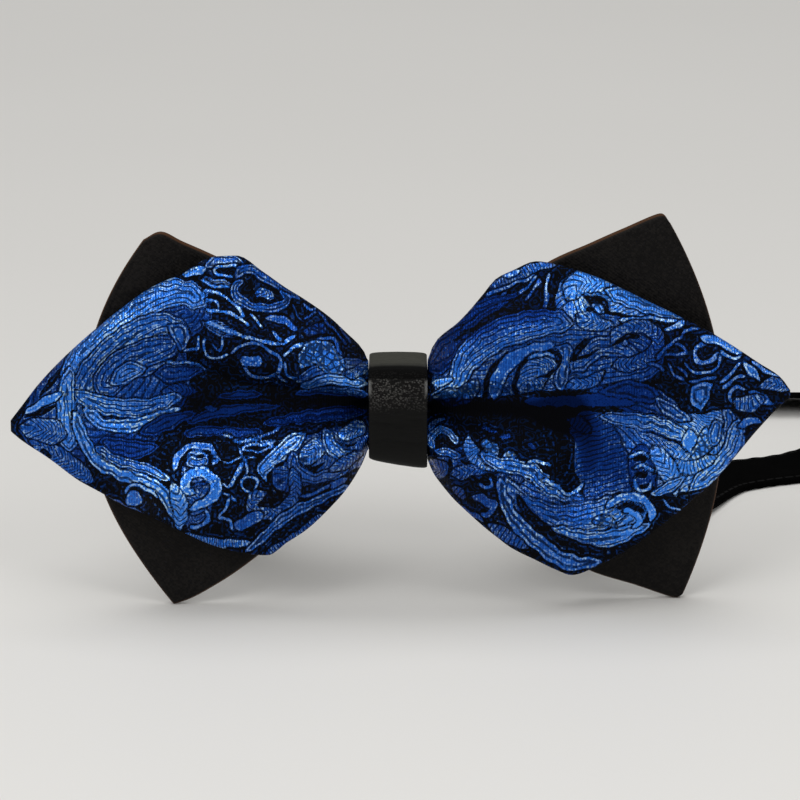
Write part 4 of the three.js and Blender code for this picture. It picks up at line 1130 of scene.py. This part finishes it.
def make_neck_strap():
    route = strap_route()
    points = np.array([[row["across"] * LOOP_ACROSS, row["away"] * LOOP_AWAY, 0] for row in route])
    place, direction = centripetal_curve(points)
    places = np.linspace(0, 1, len(route))
    read = {name: curve_through(places, column(route, name)) for name in ("lean", "lift", "width")}
    section = strap_section()
    near_edge = np.abs(section[:, :1]) > RIBBON_EDGE_FROM
    rings = []
    cloth = []
    travelled = 0
    last = place(0)
    for i in range(STRAP_STATIONS + 1):
        share = i / STRAP_STATIONS
        centre = place(share)
        tangent = direction(share)
        travelled += np.linalg.norm(centre - last)
        last = centre.copy()
        lean = math.radians(float(read["lean"](share)))
        inward = np.array([tangent[1], -tangent[0], 0])
        wide = np.array([0, 0, math.cos(lean)]) + inward * math.sin(lean)
        thick = np.cross(tangent, wide)
        thick /= np.linalg.norm(thick)
        width = float(read["width"](share)) * STRAP_WIDTH
        from_clasp = math.hypot(centre[0], centre[1] - LOOP_AWAY) - CLASP_LENGTH / 2
        on_clasp = (1 - eased(0, CLASP_RAMP, from_clasp)) * (CLASP_THICKNESS - STRAP_THICKNESS) / 2
        lying = (width * abs(wide[2]) + STRAP_THICKNESS * abs(thick[2])) / 2
        centre[2] = mix(floor_z + lying + on_clasp, 0, float(read["lift"](share)))
        free = PUCKERED_SHARES[0] < share < PUCKERED_SHARES[1]
        pucker = RIBBON_PUCKER * math.sin(travelled * RIBBON_PUCKER_TURN) if free else 0
        thinning = np.where(near_edge, RIBBON_EDGE_THINNING + pucker / 2, 0)
        reach = section[:, :1] * width / 2
        depth = section[:, 1:] * (STRAP_THICKNESS / 2 - thinning)
        rings.append(centre + wide * reach + thick * depth)
        cloth.append([[travelled, w * width / 2, 0] for w in section[:, 0]])
    count = len(section)
    around = tube_quads(len(rings), count)[:, [0, 3, 2, 1]]
    first_end = range(count)
    last_end = range(len(rings) * count - 1, (len(rings) - 1) * count - 1, -1)
    points = np.concatenate(rings)
    piece = make_object("neck_strap_ribbon", points, [*around, first_end, last_end])
    give_place(piece, "ribbon", np.concatenate(cloth))
    piece.data.materials.append(ribbon_material())
    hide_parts("neck_strap")
    return piece


# The centre band

BAND_SQUARENESS = 0.28
BAND_EDGE_SQUARENESS = 0.448
BAND_CROWN = 0.16
BAND_TOP_PROUD = 0.3
BAND_BOTTOM_PROUD = 1.0
WRINKLE_BEND = 0.35
WRINKLE_TURN = 0.8
BAND_WRINKLES = table(
    "z depth height",
    (4.4, 0.1, 0.35),
    (2.1, 0.1, 0.3),
    (-0.6, 0.14, 0.4),
    (-3.6, 0.09, 0.35),
)


def band_path():
    """Places round the band: y, from bottom (-1) to top (1), and the way outwards in y and z."""
    back_y = -BAND_CORNER_RADIUS
    front_y = band_front_y + BAND_CORNER_RADIUS
    arcs = []
    for turn, (y, way) in enumerate([(back_y, 1), (front_y, 1), (front_y, -1), (back_y, -1)]):
        angles = [(turn + i / BAND_CORNER_STEPS) * math.pi / 2 for i in range(BAND_CORNER_STEPS + 1)]
        arcs.append([(y, way, math.cos(angle), math.sin(angle)) for angle in angles])
    path = []
    for arc, after in zip(arcs, arcs[1:] + arcs[:1]):
        path += arc
        y, way, out_y, out_z = arc[-1]
        for i in range(1, BAND_SIDE_STEPS):
            share = i / BAND_SIDE_STEPS
            path.append((mix(y, after[0][0], share), mix(way, after[0][1], share), out_y, out_z))
    return path


def wrinkle_depth(x, z):
    """How far the cross wrinkles sink into the front of the band."""
    depth = 0
    for row in BAND_WRINKLES:
        bent_z = z - row["z"] - WRINKLE_BEND * np.sin(x * WRINKLE_TURN + row["z"])
        depth = depth + row["depth"] * np.exp(-((bent_z / row["height"]) ** 2))
    return depth


def make_centre_band():
    angles = np.linspace(0, 2 * np.pi, BAND_SECTION_STEPS, endpoint=False)
    section_x = np.sign(np.cos(angles)) * np.abs(np.cos(angles)) ** BAND_SQUARENESS
    section_out = np.sign(np.sin(angles)) * np.abs(np.sin(angles)) ** BAND_EDGE_SQUARENESS
    outer = section_out > 0
    x = section_x * band_half_width
    crown = BAND_CROWN * section_x ** 2 * outer
    reach = BAND_CORNER_RADIUS - BAND_WALL / 2 + section_out * BAND_WALL / 2 - crown
    bottom = -BAND_HEIGHT / 2 - BAND_BOTTOM_PROUD - BAND_BOTTOM_SLANT * x / BAND_WIDTH + BAND_CORNER_RADIUS
    top = BAND_HEIGHT / 2 + BAND_TOP_PROUD - BAND_CORNER_RADIUS
    rings = []
    for centre_y, way, out_y, out_z in band_path():
        z = mix(bottom, top, (way + 1) / 2) + out_z * reach
        y = centre_y + out_y * reach + wrinkle_depth(x, z) * outer * max(0, -out_y)
        rings.append(np.stack([x, y, z], axis=-1))
    faces = tube_quads(len(rings), BAND_SECTION_STEPS, closed=True)
    piece = make_object("centre_band_leather", np.concatenate(rings), faces)
    piece.data.materials.append(leather_material())
    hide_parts("centre_band")
    return piece


# The clasp

CLASP_EDGE_ROUND = 0.35


def make_clasp():
    """The clasp's own solid, copied, with its edges rounded."""
    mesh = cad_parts["strap_clasp"].data.copy()
    mesh.materials.clear()
    piece = bpy.data.objects.new("strap_clasp_moulded", mesh)
    bpy.context.scene.collection.objects.link(piece)
    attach(piece, "root")
    bevel = piece.modifiers.new("rounded edges", "BEVEL")
    bevel.width = CLASP_EDGE_ROUND * MM
    bevel.segments = 3
    bevel.limit_method = "ANGLE"
    bevel.angle_limit = math.radians(40)
    piece.data.materials.append(moulded_material())
    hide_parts("strap_clasp")
    return piece


# Materials


class Nodes:
    """Short names for making and joining a material's nodes."""

    def __init__(self, name):
        self.material = bpy.data.materials.new(name)
        self.material.use_nodes = True
        self.tree = self.material.node_tree

    def join(self, source, socket):
        if isinstance(source, (int, float, tuple)):
            socket.default_value = source
        else:
            self.tree.links.new(source, socket)

    def node(self, kind, inputs, output=0, **settings):
        """One output of a new node with these settings and inputs."""
        node = self.tree.nodes.new(kind)
        for name, setting in settings.items():
            setattr(node, name, setting)
        for name, source in inputs.items():
            self.join(source, node.inputs[name])
        return node.outputs[output]

    def finish(self, inputs):
        """The material, once its shader has these inputs."""
        shader = self.tree.nodes["Principled BSDF"]
        for name, source in inputs.items():
            self.join(source, shader.inputs[name])
        return self.material

    def value(self, name):
        return self.node("ShaderNodeAttribute", {}, "Fac", attribute_name=name)

    def place(self, name):
        return self.node("ShaderNodeAttribute", {}, "Vector", attribute_name=name)

    def object_place(self, scale):
        place = self.node("ShaderNodeTexCoord", {}, "Object")
        return self.vector("MULTIPLY", place, (scale, scale, scale))

    def part(self, place, index):
        """One coordinate of a place: 0 is across, 1 down or away, 2 up."""
        return self.node("ShaderNodeSeparateXYZ", {0: place}, index)

    def maths(self, operation, *sources):
        return self.node("ShaderNodeMath", dict(enumerate(sources)), operation=operation)

    def vector(self, operation, *sources):
        return self.node("ShaderNodeVectorMath", dict(enumerate(sources)), operation=operation)

    def along(self, place, way):
        """How far a place lies along a way."""
        return self.node("ShaderNodeVectorMath", {0: place, 1: way}, "Value", operation="DOT_PRODUCT")

    def scaled(self, way, amount):
        return self.node("ShaderNodeVectorMath", {0: way, "Scale": amount}, operation="SCALE")

    def times(self, value, *factors):
        """The product of some values."""
        for factor in factors:
            value = self.maths("MULTIPLY", value, factor)
        return value

    def plus(self, base, amount, value):
        """A base with an amount of another value added to it."""
        return self.maths("MULTIPLY_ADD", value, amount, base)

    def centred(self, share):
        """A share less a half."""
        return self.maths("SUBTRACT", share, 0.5)

    def rest(self, share):
        """What a share leaves of one."""
        return self.maths("SUBTRACT", 1.0, share)

    def most(self, first, second):
        return self.maths("MAXIMUM", first, second)

    def off(self, value, place):
        """How far a value is from a place, on either side."""
        return self.maths("ABSOLUTE", self.maths("SUBTRACT", value, place))

    def folded(self, value, half=0.5):
        """How far a value is from the nearest even multiple of a half period."""
        return self.maths("PINGPONG", value, half)

    def step(self, value, low, high):
        """0 below low, 1 above high, smooth between; the other way round where low is the larger."""
        inputs = {"Value": value, "From Min": low, "From Max": high}
        return self.node("ShaderNodeMapRange", inputs, "Result", interpolation_type="SMOOTHSTEP")

    def between(self, share, start, end):
        """A value that goes from start to end as the share goes from 0 to 1."""
        return self.node("ShaderNodeMapRange", {"Value": share, "To Min": start, "To Max": end}, "Result")

    def blend(self, share, first, second):
        inputs = {"Factor": share, "A": first, "B": second}
        return self.node("ShaderNodeMix", inputs, "Result", data_type="RGBA")

    def noise(self, place, scale=1.0, detail=3.0, roughness=0.6):
        inputs = {"Vector": place, "Scale": scale, "Detail": detail, "Roughness": roughness}
        return self.node("ShaderNodeTexNoise", inputs, "Fac")

    def stretched(self, place, across, down, deep=1.0):
        """A place for a texture, scaled by its own amount each way."""
        return self.vector("MULTIPLY", place, (across, down, deep))

    def chance(self, place, cell, output="Value"):
        """A chance number, or colour, for each cell of this size."""
        return self.node("ShaderNodeTexWhiteNoise", {"Vector": self.vector("SNAP", place, cell)}, output)

    def cells(self, place, scale, feature="F1"):
        inputs = {"Vector": place, "Scale": scale}
        return self.node("ShaderNodeTexVoronoi", inputs, "Distance", feature=feature)

    def bump(self, height, distance, strength):
        inputs = {"Height": height, "Distance": distance * MM, "Strength": strength}
        return self.node("ShaderNodeBump", inputs, "Normal")


def grey(level):
    return (level, level, level, 1)


# The brocade's colours and, in pixels of the photograph, the sizes of its threads and beads
BLACK_GROUND = (0.0016, 0.0018, 0.003, 1)
# Painted shade: the colour that the deepest valleys of the folds are darkened towards
FOLD_SHADE_BLACK = (0.0005, 0.0006, 0.0015, 1)
FAINT_BLUE = (0.0013, 0.008, 0.034, 1)
# Blues from deep to light, chosen by a tone that holds painted light and shade as well as the cloth's own
# tone
DEEP_BLUE = (0.0037, 0.0235, 0.158, 1)
MIDDLE_BLUE = (0.01, 0.078, 0.39, 1)
LIGHT_BLUE = (0.042, 0.235, 0.86, 1)
# Painted glints of the metal threads
PALE_GLINT = (0.5, 0.76, 1.0, 1)
THREAD_CELL = (1.7, 1.4, 1.0)
BEAD_CELL = (2.3, 2.3, 1.0)
THREAD_PITCH = 2.6
BEADS_INSIDE_RIM = -1.2
BEADS_OUTSIDE_RIM = 3.4
BEADS_OUTSIDE_SHARE = 0.35
# Painted shade: how deep in a fold's valley the darkening starts and where it is full
FOLD_SHADE_DEPTHS = (0.38, 0.7)
LINE_EDGES = (0.09, 0.24)
LINE_DEPTH = 0.86
NET_SCALE = 0.17
NET_EDGES = (0.2, 0.08)
CURL_COUNT = 9.0
MIDDLE_BLUE_SHADES = (0.0, 0.7)
LIGHT_BLUE_SHADES = (0.5, 1.35)
GLINT_SHADES = (0.2, 1.1)


def brocade_material():
    """Metallic blue floats on a black ground, with fine lines and beads, painted glints, painted shade in
    the folds and painted patches of sheen.
    """
    n = Nodes("brocade")
    cloth = n.place("cloth")
    from_rim = n.value("figure")
    chance = n.chance(cloth, THREAD_CELL)
    bead_chance = n.chance(cloth, BEAD_CELL)
    grain = n.centred(chance)
    # Painted shade: how deep the point lies in the valley of a fold, which darkens its colour below
    fold_shade = n.step(n.value("sunk"), *FOLD_SHADE_DEPTHS)
    open_cloth = n.rest(fold_shade)

    # Where the blue threads lie on top: the figures, less their fine lines and their netting
    in_figure = n.step(n.plus(from_rim, 0.9, grain), 0.45, -0.45)
    wave = n.folded(n.plus(n.value("lines"), 0.05, grain))
    gaps_in_line = n.times(n.step(bead_chance, 0.22, 0.12), 0.6)
    on_line = n.rest(n.most(n.step(wave, *LINE_EDGES), gaps_in_line))
    net_edge = n.cells(n.stretched(cloth, NET_SCALE, NET_SCALE, 0.0), 1.0, "DISTANCE_TO_EDGE")
    net_cut = n.times(n.value("net"), n.step(net_edge, *NET_EDGES))
    woven = n.times(in_figure, n.rest(n.times(n.most(on_line, net_cut), LINE_DEPTH)))

    # Faint curling lines in the black ground between the figures
    swirl = n.noise(n.stretched(cloth, 0.055, 0.07), detail=1.5, roughness=0.45)
    curl = n.folded(n.plus(n.times(swirl, CURL_COUNT), 0.1, grain))
    faint = n.times(n.step(curl, 0.2, 0.1), n.step(bead_chance, 0.15, 0.4), open_cloth)

    # Rows of beads: bright ones on the rim of each figure, painted as glints, and a sparse blue row just
    # outside it
    on_rim = n.times(n.step(n.off(from_rim, BEADS_INSIDE_RIM), 1.1, 0.5), n.step(bead_chance, 0.45, 0.6))
    beside_rim = n.step(n.off(n.value("edge"), BEADS_OUTSIDE_RIM), 1.0, 0.5)
    outside = n.times(beside_rim, n.step(bead_chance, 0.5, 0.65), n.rest(in_figure))
    outside = n.times(outside, open_cloth, BEADS_OUTSIDE_SHARE)
    blue = n.most(woven, outside)

    # Shade: the figure's own tone with the painted sheen and shade in it, long floats, single threads and
    # the painted shade of the folds; then pale painted glints beside the lines, on the rims and at random,
    # only where the blue is lit
    floats = n.noise(n.stretched(cloth, 0.42, 0.1), roughness=0.7)
    threads = n.maths("SINE", n.times(n.part(cloth, 0), 2 * math.pi / THREAD_PITCH))
    shade = n.plus(n.value("tone"), 1.2, n.centred(floats))
    shade = n.plus(shade, 0.4, grain)
    shade = n.plus(shade, 0.1, threads)
    shade = n.plus(shade, -1.2, fold_shade)
    colour = n.blend(n.step(shade, *MIDDLE_BLUE_SHADES), DEEP_BLUE, MIDDLE_BLUE)
    colour = n.blend(n.step(shade, *LIGHT_BLUE_SHADES), colour, LIGHT_BLUE)
    beside_line = n.times(n.step(wave, 0.16, 0.22), n.step(wave, 0.42, 0.36))
    pale = n.times(beside_line, n.step(bead_chance, 0.62, 0.75))
    pale = n.most(n.most(pale, on_rim), n.step(chance, 0.95, 0.98))
    light_patches = n.noise(n.stretched(cloth, 0.022, 0.022), detail=2.0, roughness=0.5)
    pale = n.times(pale, n.step(shade, *GLINT_SHADES), n.between(n.step(light_patches, 0.38, 0.6), 0.3, 1.0))
    colour = n.blend(pale, colour, PALE_GLINT)
    colour = n.blend(blue, n.blend(faint, BLACK_GROUND, FAINT_BLUE), colour)
    # Painted shade: the deep valleys of the folds darkened towards black
    colour = n.blend(n.times(fold_shade, 0.75), colour, FOLD_SHADE_BLACK)

    # Relief: the figures stand up a little, and each cell of thread leans its own way
    chance_way = n.vector("SUBTRACT", n.chance(cloth, THREAD_CELL, "Color"), (0.5, 0.5, 0.5))
    lean = n.scaled(chance_way, n.between(blue, 0.12, 0.5))
    raised = n.bump(n.plus(blue, 0.2, threads), 0.12, 0.8)
    return n.finish({
        "Base Color": colour,
        "Metallic": n.times(blue, 0.75),
        "Roughness": n.between(blue, 0.6, n.between(chance, 0.22, 0.5)),
        "Specular IOR Level": 0.03,
        "Normal": n.vector("NORMALIZE", n.vector("ADD", raised, lean)),
    })


SATIN_DARK = (0.003, 0.0025, 0.0024, 1)
SATIN_LIGHT = (0.009, 0.0078, 0.007, 1)
SATIN_EDGE_THREAD = (0.07, 0.03, 0.012, 1)
SATIN_CELL = (0.32, 0.32, 0.32)
SATIN_WEAVE_WAY = (9.0, 0.0, 12.6)
SATIN_SEAM_FROM_EDGE = 1.6


def satin_material():
    """Black satin: a fine diagonal weave, soft sheen, and a warm brown thread along the edge."""
    n = Nodes("back_satin")
    place = n.object_place(1 / MM)
    from_edge = n.value("from_edge")
    chance = n.chance(place, SATIN_CELL)
    fine = n.plus(n.noise(place, 0.12), 0.7, n.centred(chance))
    base = n.blend(n.step(fine, 0.2, 0.9), SATIN_DARK, SATIN_LIGHT)
    base = n.blend(n.times(n.step(from_edge, 0.32, 0.12), 0.8), base, SATIN_EDGE_THREAD)
    weave = n.maths("SINE", n.along(place, SATIN_WEAVE_WAY))
    height = n.plus(n.times(weave, 0.5), 0.5, chance)
    height = n.plus(height, 1.5, n.step(n.off(from_edge, SATIN_SEAM_FROM_EDGE), 0.2, 0.5))
    return n.finish({
        "Base Color": base,
        "Roughness": n.between(chance, 0.5, 0.68),
        "Sheen Weight": 0.02,
        "Sheen Roughness": 0.5,
        "Specular IOR Level": 0.09,
        "Normal": n.bump(height, 0.03, 0.6),
    })


RIBBON_DARK = grey(0.0003)
RIBBON_LIGHT = grey(0.0013)
# Painted sheen on the tops of the ribs
RIBBON_RIB_SHEEN = grey(0.004)
RIBBON_STITCH = grey(0.014)
RIBBON_CELL = (0.3, 0.3, 0.3)
RIBBON_HALF_STITCH = 1.1


def ribbon_material():
    """Black satin ribbon: ribs across it, their tops painted lighter as a painted sheen, and a row of
    stitches along each edge.
    """
    n = Nodes("ribbon_satin")
    ribbon = n.place("ribbon")
    along = n.part(ribbon, 0)
    from_middle = n.maths("ABSOLUTE", n.part(ribbon, 1))
    on_row = n.step(n.off(from_middle, STRAP_WIDTH / 2 - RIBBON_STITCH_FROM_EDGE), 0.3, 0.12)
    stitches = n.times(on_row, n.step(n.folded(along, RIBBON_HALF_STITCH), 0.2, 0.35))
    chance = n.chance(ribbon, RIBBON_CELL)
    fine = n.plus(n.noise(ribbon, 0.2), 0.5, n.centred(chance))
    rib = n.maths("SINE", n.times(along, 2 * math.pi / RIBBON_RIB))
    base = n.blend(n.step(fine, 0.2, 0.9), RIBBON_DARK, RIBBON_LIGHT)
    # Painted sheen: the tops of the ribs lighter
    base = n.blend(n.times(n.step(rib, 0.2, 0.9), 0.35), base, RIBBON_RIB_SHEEN)
    base = n.blend(n.times(stitches, 0.6), base, RIBBON_STITCH)
    return n.finish({
        "Base Color": base,
        "Roughness": n.between(chance, 0.5, 0.66),
        "Specular IOR Level": 0.004,
        "Normal": n.bump(n.plus(n.times(stitches, 1.6), 0.35, rib), 0.03, 0.7),
    })


# The band's colours and its zones: where each zone starts and where it is full, in millimetres
LEATHER_DARK = (0.0016, 0.0016, 0.0016, 1)
LEATHER_WORN = (0.0034, 0.0033, 0.0031, 1)
LEATHER_BOTTOM = (0.0055, 0.0054, 0.005, 1)
# Painted highlight on the tops of the pebbles
LEATHER_PEBBLE_HIGHLIGHT = (0.06, 0.058, 0.055, 1)
# Painted sheen: the pale reflection on the band's top face
LEATHER_TOP_SHEEN = (0.034, 0.034, 0.027, 1)
# Painted shade along the band's top front corner
LEATHER_CORNER_SHADE = grey(0.0003)
# Painted highlight down the front of the band near each side edge
LEATHER_EDGE_HIGHLIGHT = (0.16, 0.16, 0.155, 1)
FRONT_ZONE = (band_front_y + 1.6, band_front_y + 0.6)
GRAINED_ZONE = (0.0, 4.4)
BOTTOM_ZONE = (-4.0, -8.5)
TOP_SHEEN_ZONE = (6.2, 7.0)
TOP_SHEEN_BACKWARD = (-10.8, -7.4)
CORNER_SHADE_ZONE = (5.9, 6.3)
CORNER_SHADE_FORWARD = (-9.2, -10.8)
EDGE_HIGHLIGHT_ABOVE = (3.0, 4.4)
EDGE_HIGHLIGHT_BELOW = (6.1, 5.4)
EDGE_HIGHLIGHT_ACROSS = (3.9, 4.35)


def leather_material():
    """Black faux leather: pebbled above with painted highlights on the pebbles, smooth below, a painted pale
    sheen on top, painted shade at the top front corner, and painted highlights along its side edges.
    """
    n = Nodes("grained_leather")
    place = n.object_place(1 / MM)
    from_middle = n.maths("ABSOLUTE", n.part(place, 0))
    back = n.part(place, 1)
    up = n.part(place, 2)
    on_front = n.step(back, *FRONT_ZONE)
    pebbles = n.cells(n.stretched(place, 1.0, 1.0, 1.25), 2.9)
    creases = n.noise(n.stretched(place, 0.35, 0.5, 2.6))
    worn = n.noise(place, 0.9)
    grained = n.times(n.step(up, *GRAINED_ZONE), on_front)
    # Painted highlights on the tops of the pebbles
    pebble_highlights = n.times(n.step(pebbles, 0.6, 0.2), grained, n.step(creases, 0.36, 0.52))
    # Painted sheen: the top face paler, more so towards its back
    top_sheen = n.times(n.step(up, *TOP_SHEEN_ZONE), n.step(back, *TOP_SHEEN_BACKWARD))
    # Painted shade along the top front corner, where it is also made very rough
    corner_shade = n.times(n.step(up, *CORNER_SHADE_ZONE), n.step(back, *CORNER_SHADE_FORWARD))
    # Painted highlights down the front near each side edge
    edge_highlight = n.times(n.step(up, *EDGE_HIGHLIGHT_ABOVE), n.step(up, *EDGE_HIGHLIGHT_BELOW), on_front)
    edge_highlight = n.times(n.step(from_middle, *EDGE_HIGHLIGHT_ACROSS), edge_highlight)
    base = n.blend(worn, LEATHER_DARK, LEATHER_WORN)
    base = n.blend(n.step(up, *BOTTOM_ZONE), base, LEATHER_BOTTOM)
    base = n.blend(pebble_highlights, base, LEATHER_PEBBLE_HIGHLIGHT)
    base = n.blend(top_sheen, base, LEATHER_TOP_SHEEN)
    base = n.blend(n.times(corner_shade, 0.9), base, LEATHER_CORNER_SHADE)
    base = n.blend(n.times(edge_highlight, 0.8), base, LEATHER_EDGE_HIGHLIGHT)
    grain = n.times(n.step(pebbles, 0.1, 0.75), n.between(grained, 0.15, 1.0))
    return n.finish({
        "Base Color": base,
        "Roughness": n.between(corner_shade, n.between(worn, 0.34, 0.5), 0.95),
        "Specular IOR Level": 0.1,
        "Normal": n.bump(n.plus(n.times(grain, -0.7), 0.9, creases), 0.12, 0.8),
    })


def moulded_material():
    """Plain moulded plastic with a fine spark texture."""
    n = Nodes("moulded_plastic")
    place = n.object_place(1 / MM)
    fine = n.noise(place, 6.0)
    cloud = n.noise(place, 0.3, 2.0, 0.5)
    return n.finish({
        "Base Color": n.blend(cloud, grey(0.005), grey(0.009)),
        "Roughness": n.between(fine, 0.38, 0.55),
        "Specular IOR Level": 0.2,
        "Normal": n.bump(fine, 0.03, 0.5),
    })


def floor_material():
    """A matt floor, very faintly clouded."""
    n = Nodes("pale_floor")
    cloud = n.noise(n.object_place(1.0), 3.0, roughness=0.5)
    return n.finish({
        "Base Color": n.blend(cloud, FLOOR_COLOUR, FLOOR_CLOUD_COLOUR),
        "Roughness": n.between(cloud, 0.5, 0.6),
    })


# The stage, the light and the view

FLOOR_HALF_SIDE = 4
FLOOR_COLOUR = (0.71, 0.70, 0.675, 1)
FLOOR_CLOUD_COLOUR = (0.74, 0.73, 0.705, 1)
ROOM_COLOUR = (1, 0.99, 0.97, 1)
ROOM_LIGHT = 0.22
OVERHEAD_LIGHT = 1.75
OVERHEAD_SPREAD = 60
OVERHEAD_FROM = (-0.1, -0.1, 1)
PANELS = table(
    "name place side power",
    ("front_left", (-0.4, -0.6, 0.55), 0.4, 2.6),
    ("front_right", (0.5, -0.5, 0.45), 0.3, 1.3),
)


def make_floor():
    """A plain pale floor, wide enough to fill the view."""
    side = FLOOR_HALF_SIDE
    corners = [(x, y, floor_z * MM) for x, y in [(-side, -side), (side, -side), (side, side), (-side, side)]]
    mesh = bpy.data.meshes.new("floor")
    mesh.from_pydata(corners, [], [(0, 1, 2, 3)])
    floor = bpy.data.objects.new("floor", mesh)
    bpy.context.scene.collection.objects.link(floor)
    mesh.materials.append(floor_material())


def place_light(data, place):
    """Puts a light into the scene so that it shines at the origin."""
    light = bpy.data.objects.new(data.name, data)
    light.location = place
    light.rotation_mode = "QUATERNION"
    light.rotation_quaternion = (-Vector(place)).to_track_quat("-Z", "Y")
    bpy.context.scene.collection.objects.link(light)


def make_lights():
    """A pale room, one wide overhead light, and two soft square panels in front."""
    world = bpy.data.worlds.new("pale_room")
    world.use_nodes = True
    background = world.node_tree.nodes["Background"]
    background.inputs["Color"].default_value = ROOM_COLOUR
    background.inputs["Strength"].default_value = ROOM_LIGHT
    bpy.context.scene.world = world
    overhead = bpy.data.lights.new("overhead", "SUN")
    overhead.energy = OVERHEAD_LIGHT
    overhead.angle = math.radians(OVERHEAD_SPREAD)
    place_light(overhead, OVERHEAD_FROM)
    for row in PANELS:
        panel = bpy.data.lights.new(row["name"], "AREA")
        panel.size = row["side"]
        panel.energy = row["power"]
        place_light(panel, row["place"])


def make_camera():
    """The camera of the photograph, looking down on the bow."""
    data = bpy.data.cameras.new("camera")
    data.sensor_width = SENSOR_WIDTH
    data.lens = FOCAL_PIXELS * SENSOR_WIDTH / IMAGE_SIDE
    camera = bpy.data.objects.new("camera", data)
    bpy.context.scene.collection.objects.link(camera)
    away = Vector((0, -math.cos(VIEW_RISE), math.sin(VIEW_RISE)))
    camera.location = (Vector(VIEW_TARGET) + away * VIEW_DISTANCE) * MM
    camera.rotation_mode = "QUATERNION"
    camera.rotation_quaternion = (-away).to_track_quat("-Z", "Y")
    bpy.context.scene.camera = camera


make_camera()
make_floor()
make_lights()
make_centre_band()
make_clasp()
make_front_bow()
make_back_bow()
make_neck_strap()
bpy.context.scene.view_settings.view_transform = "Standard"
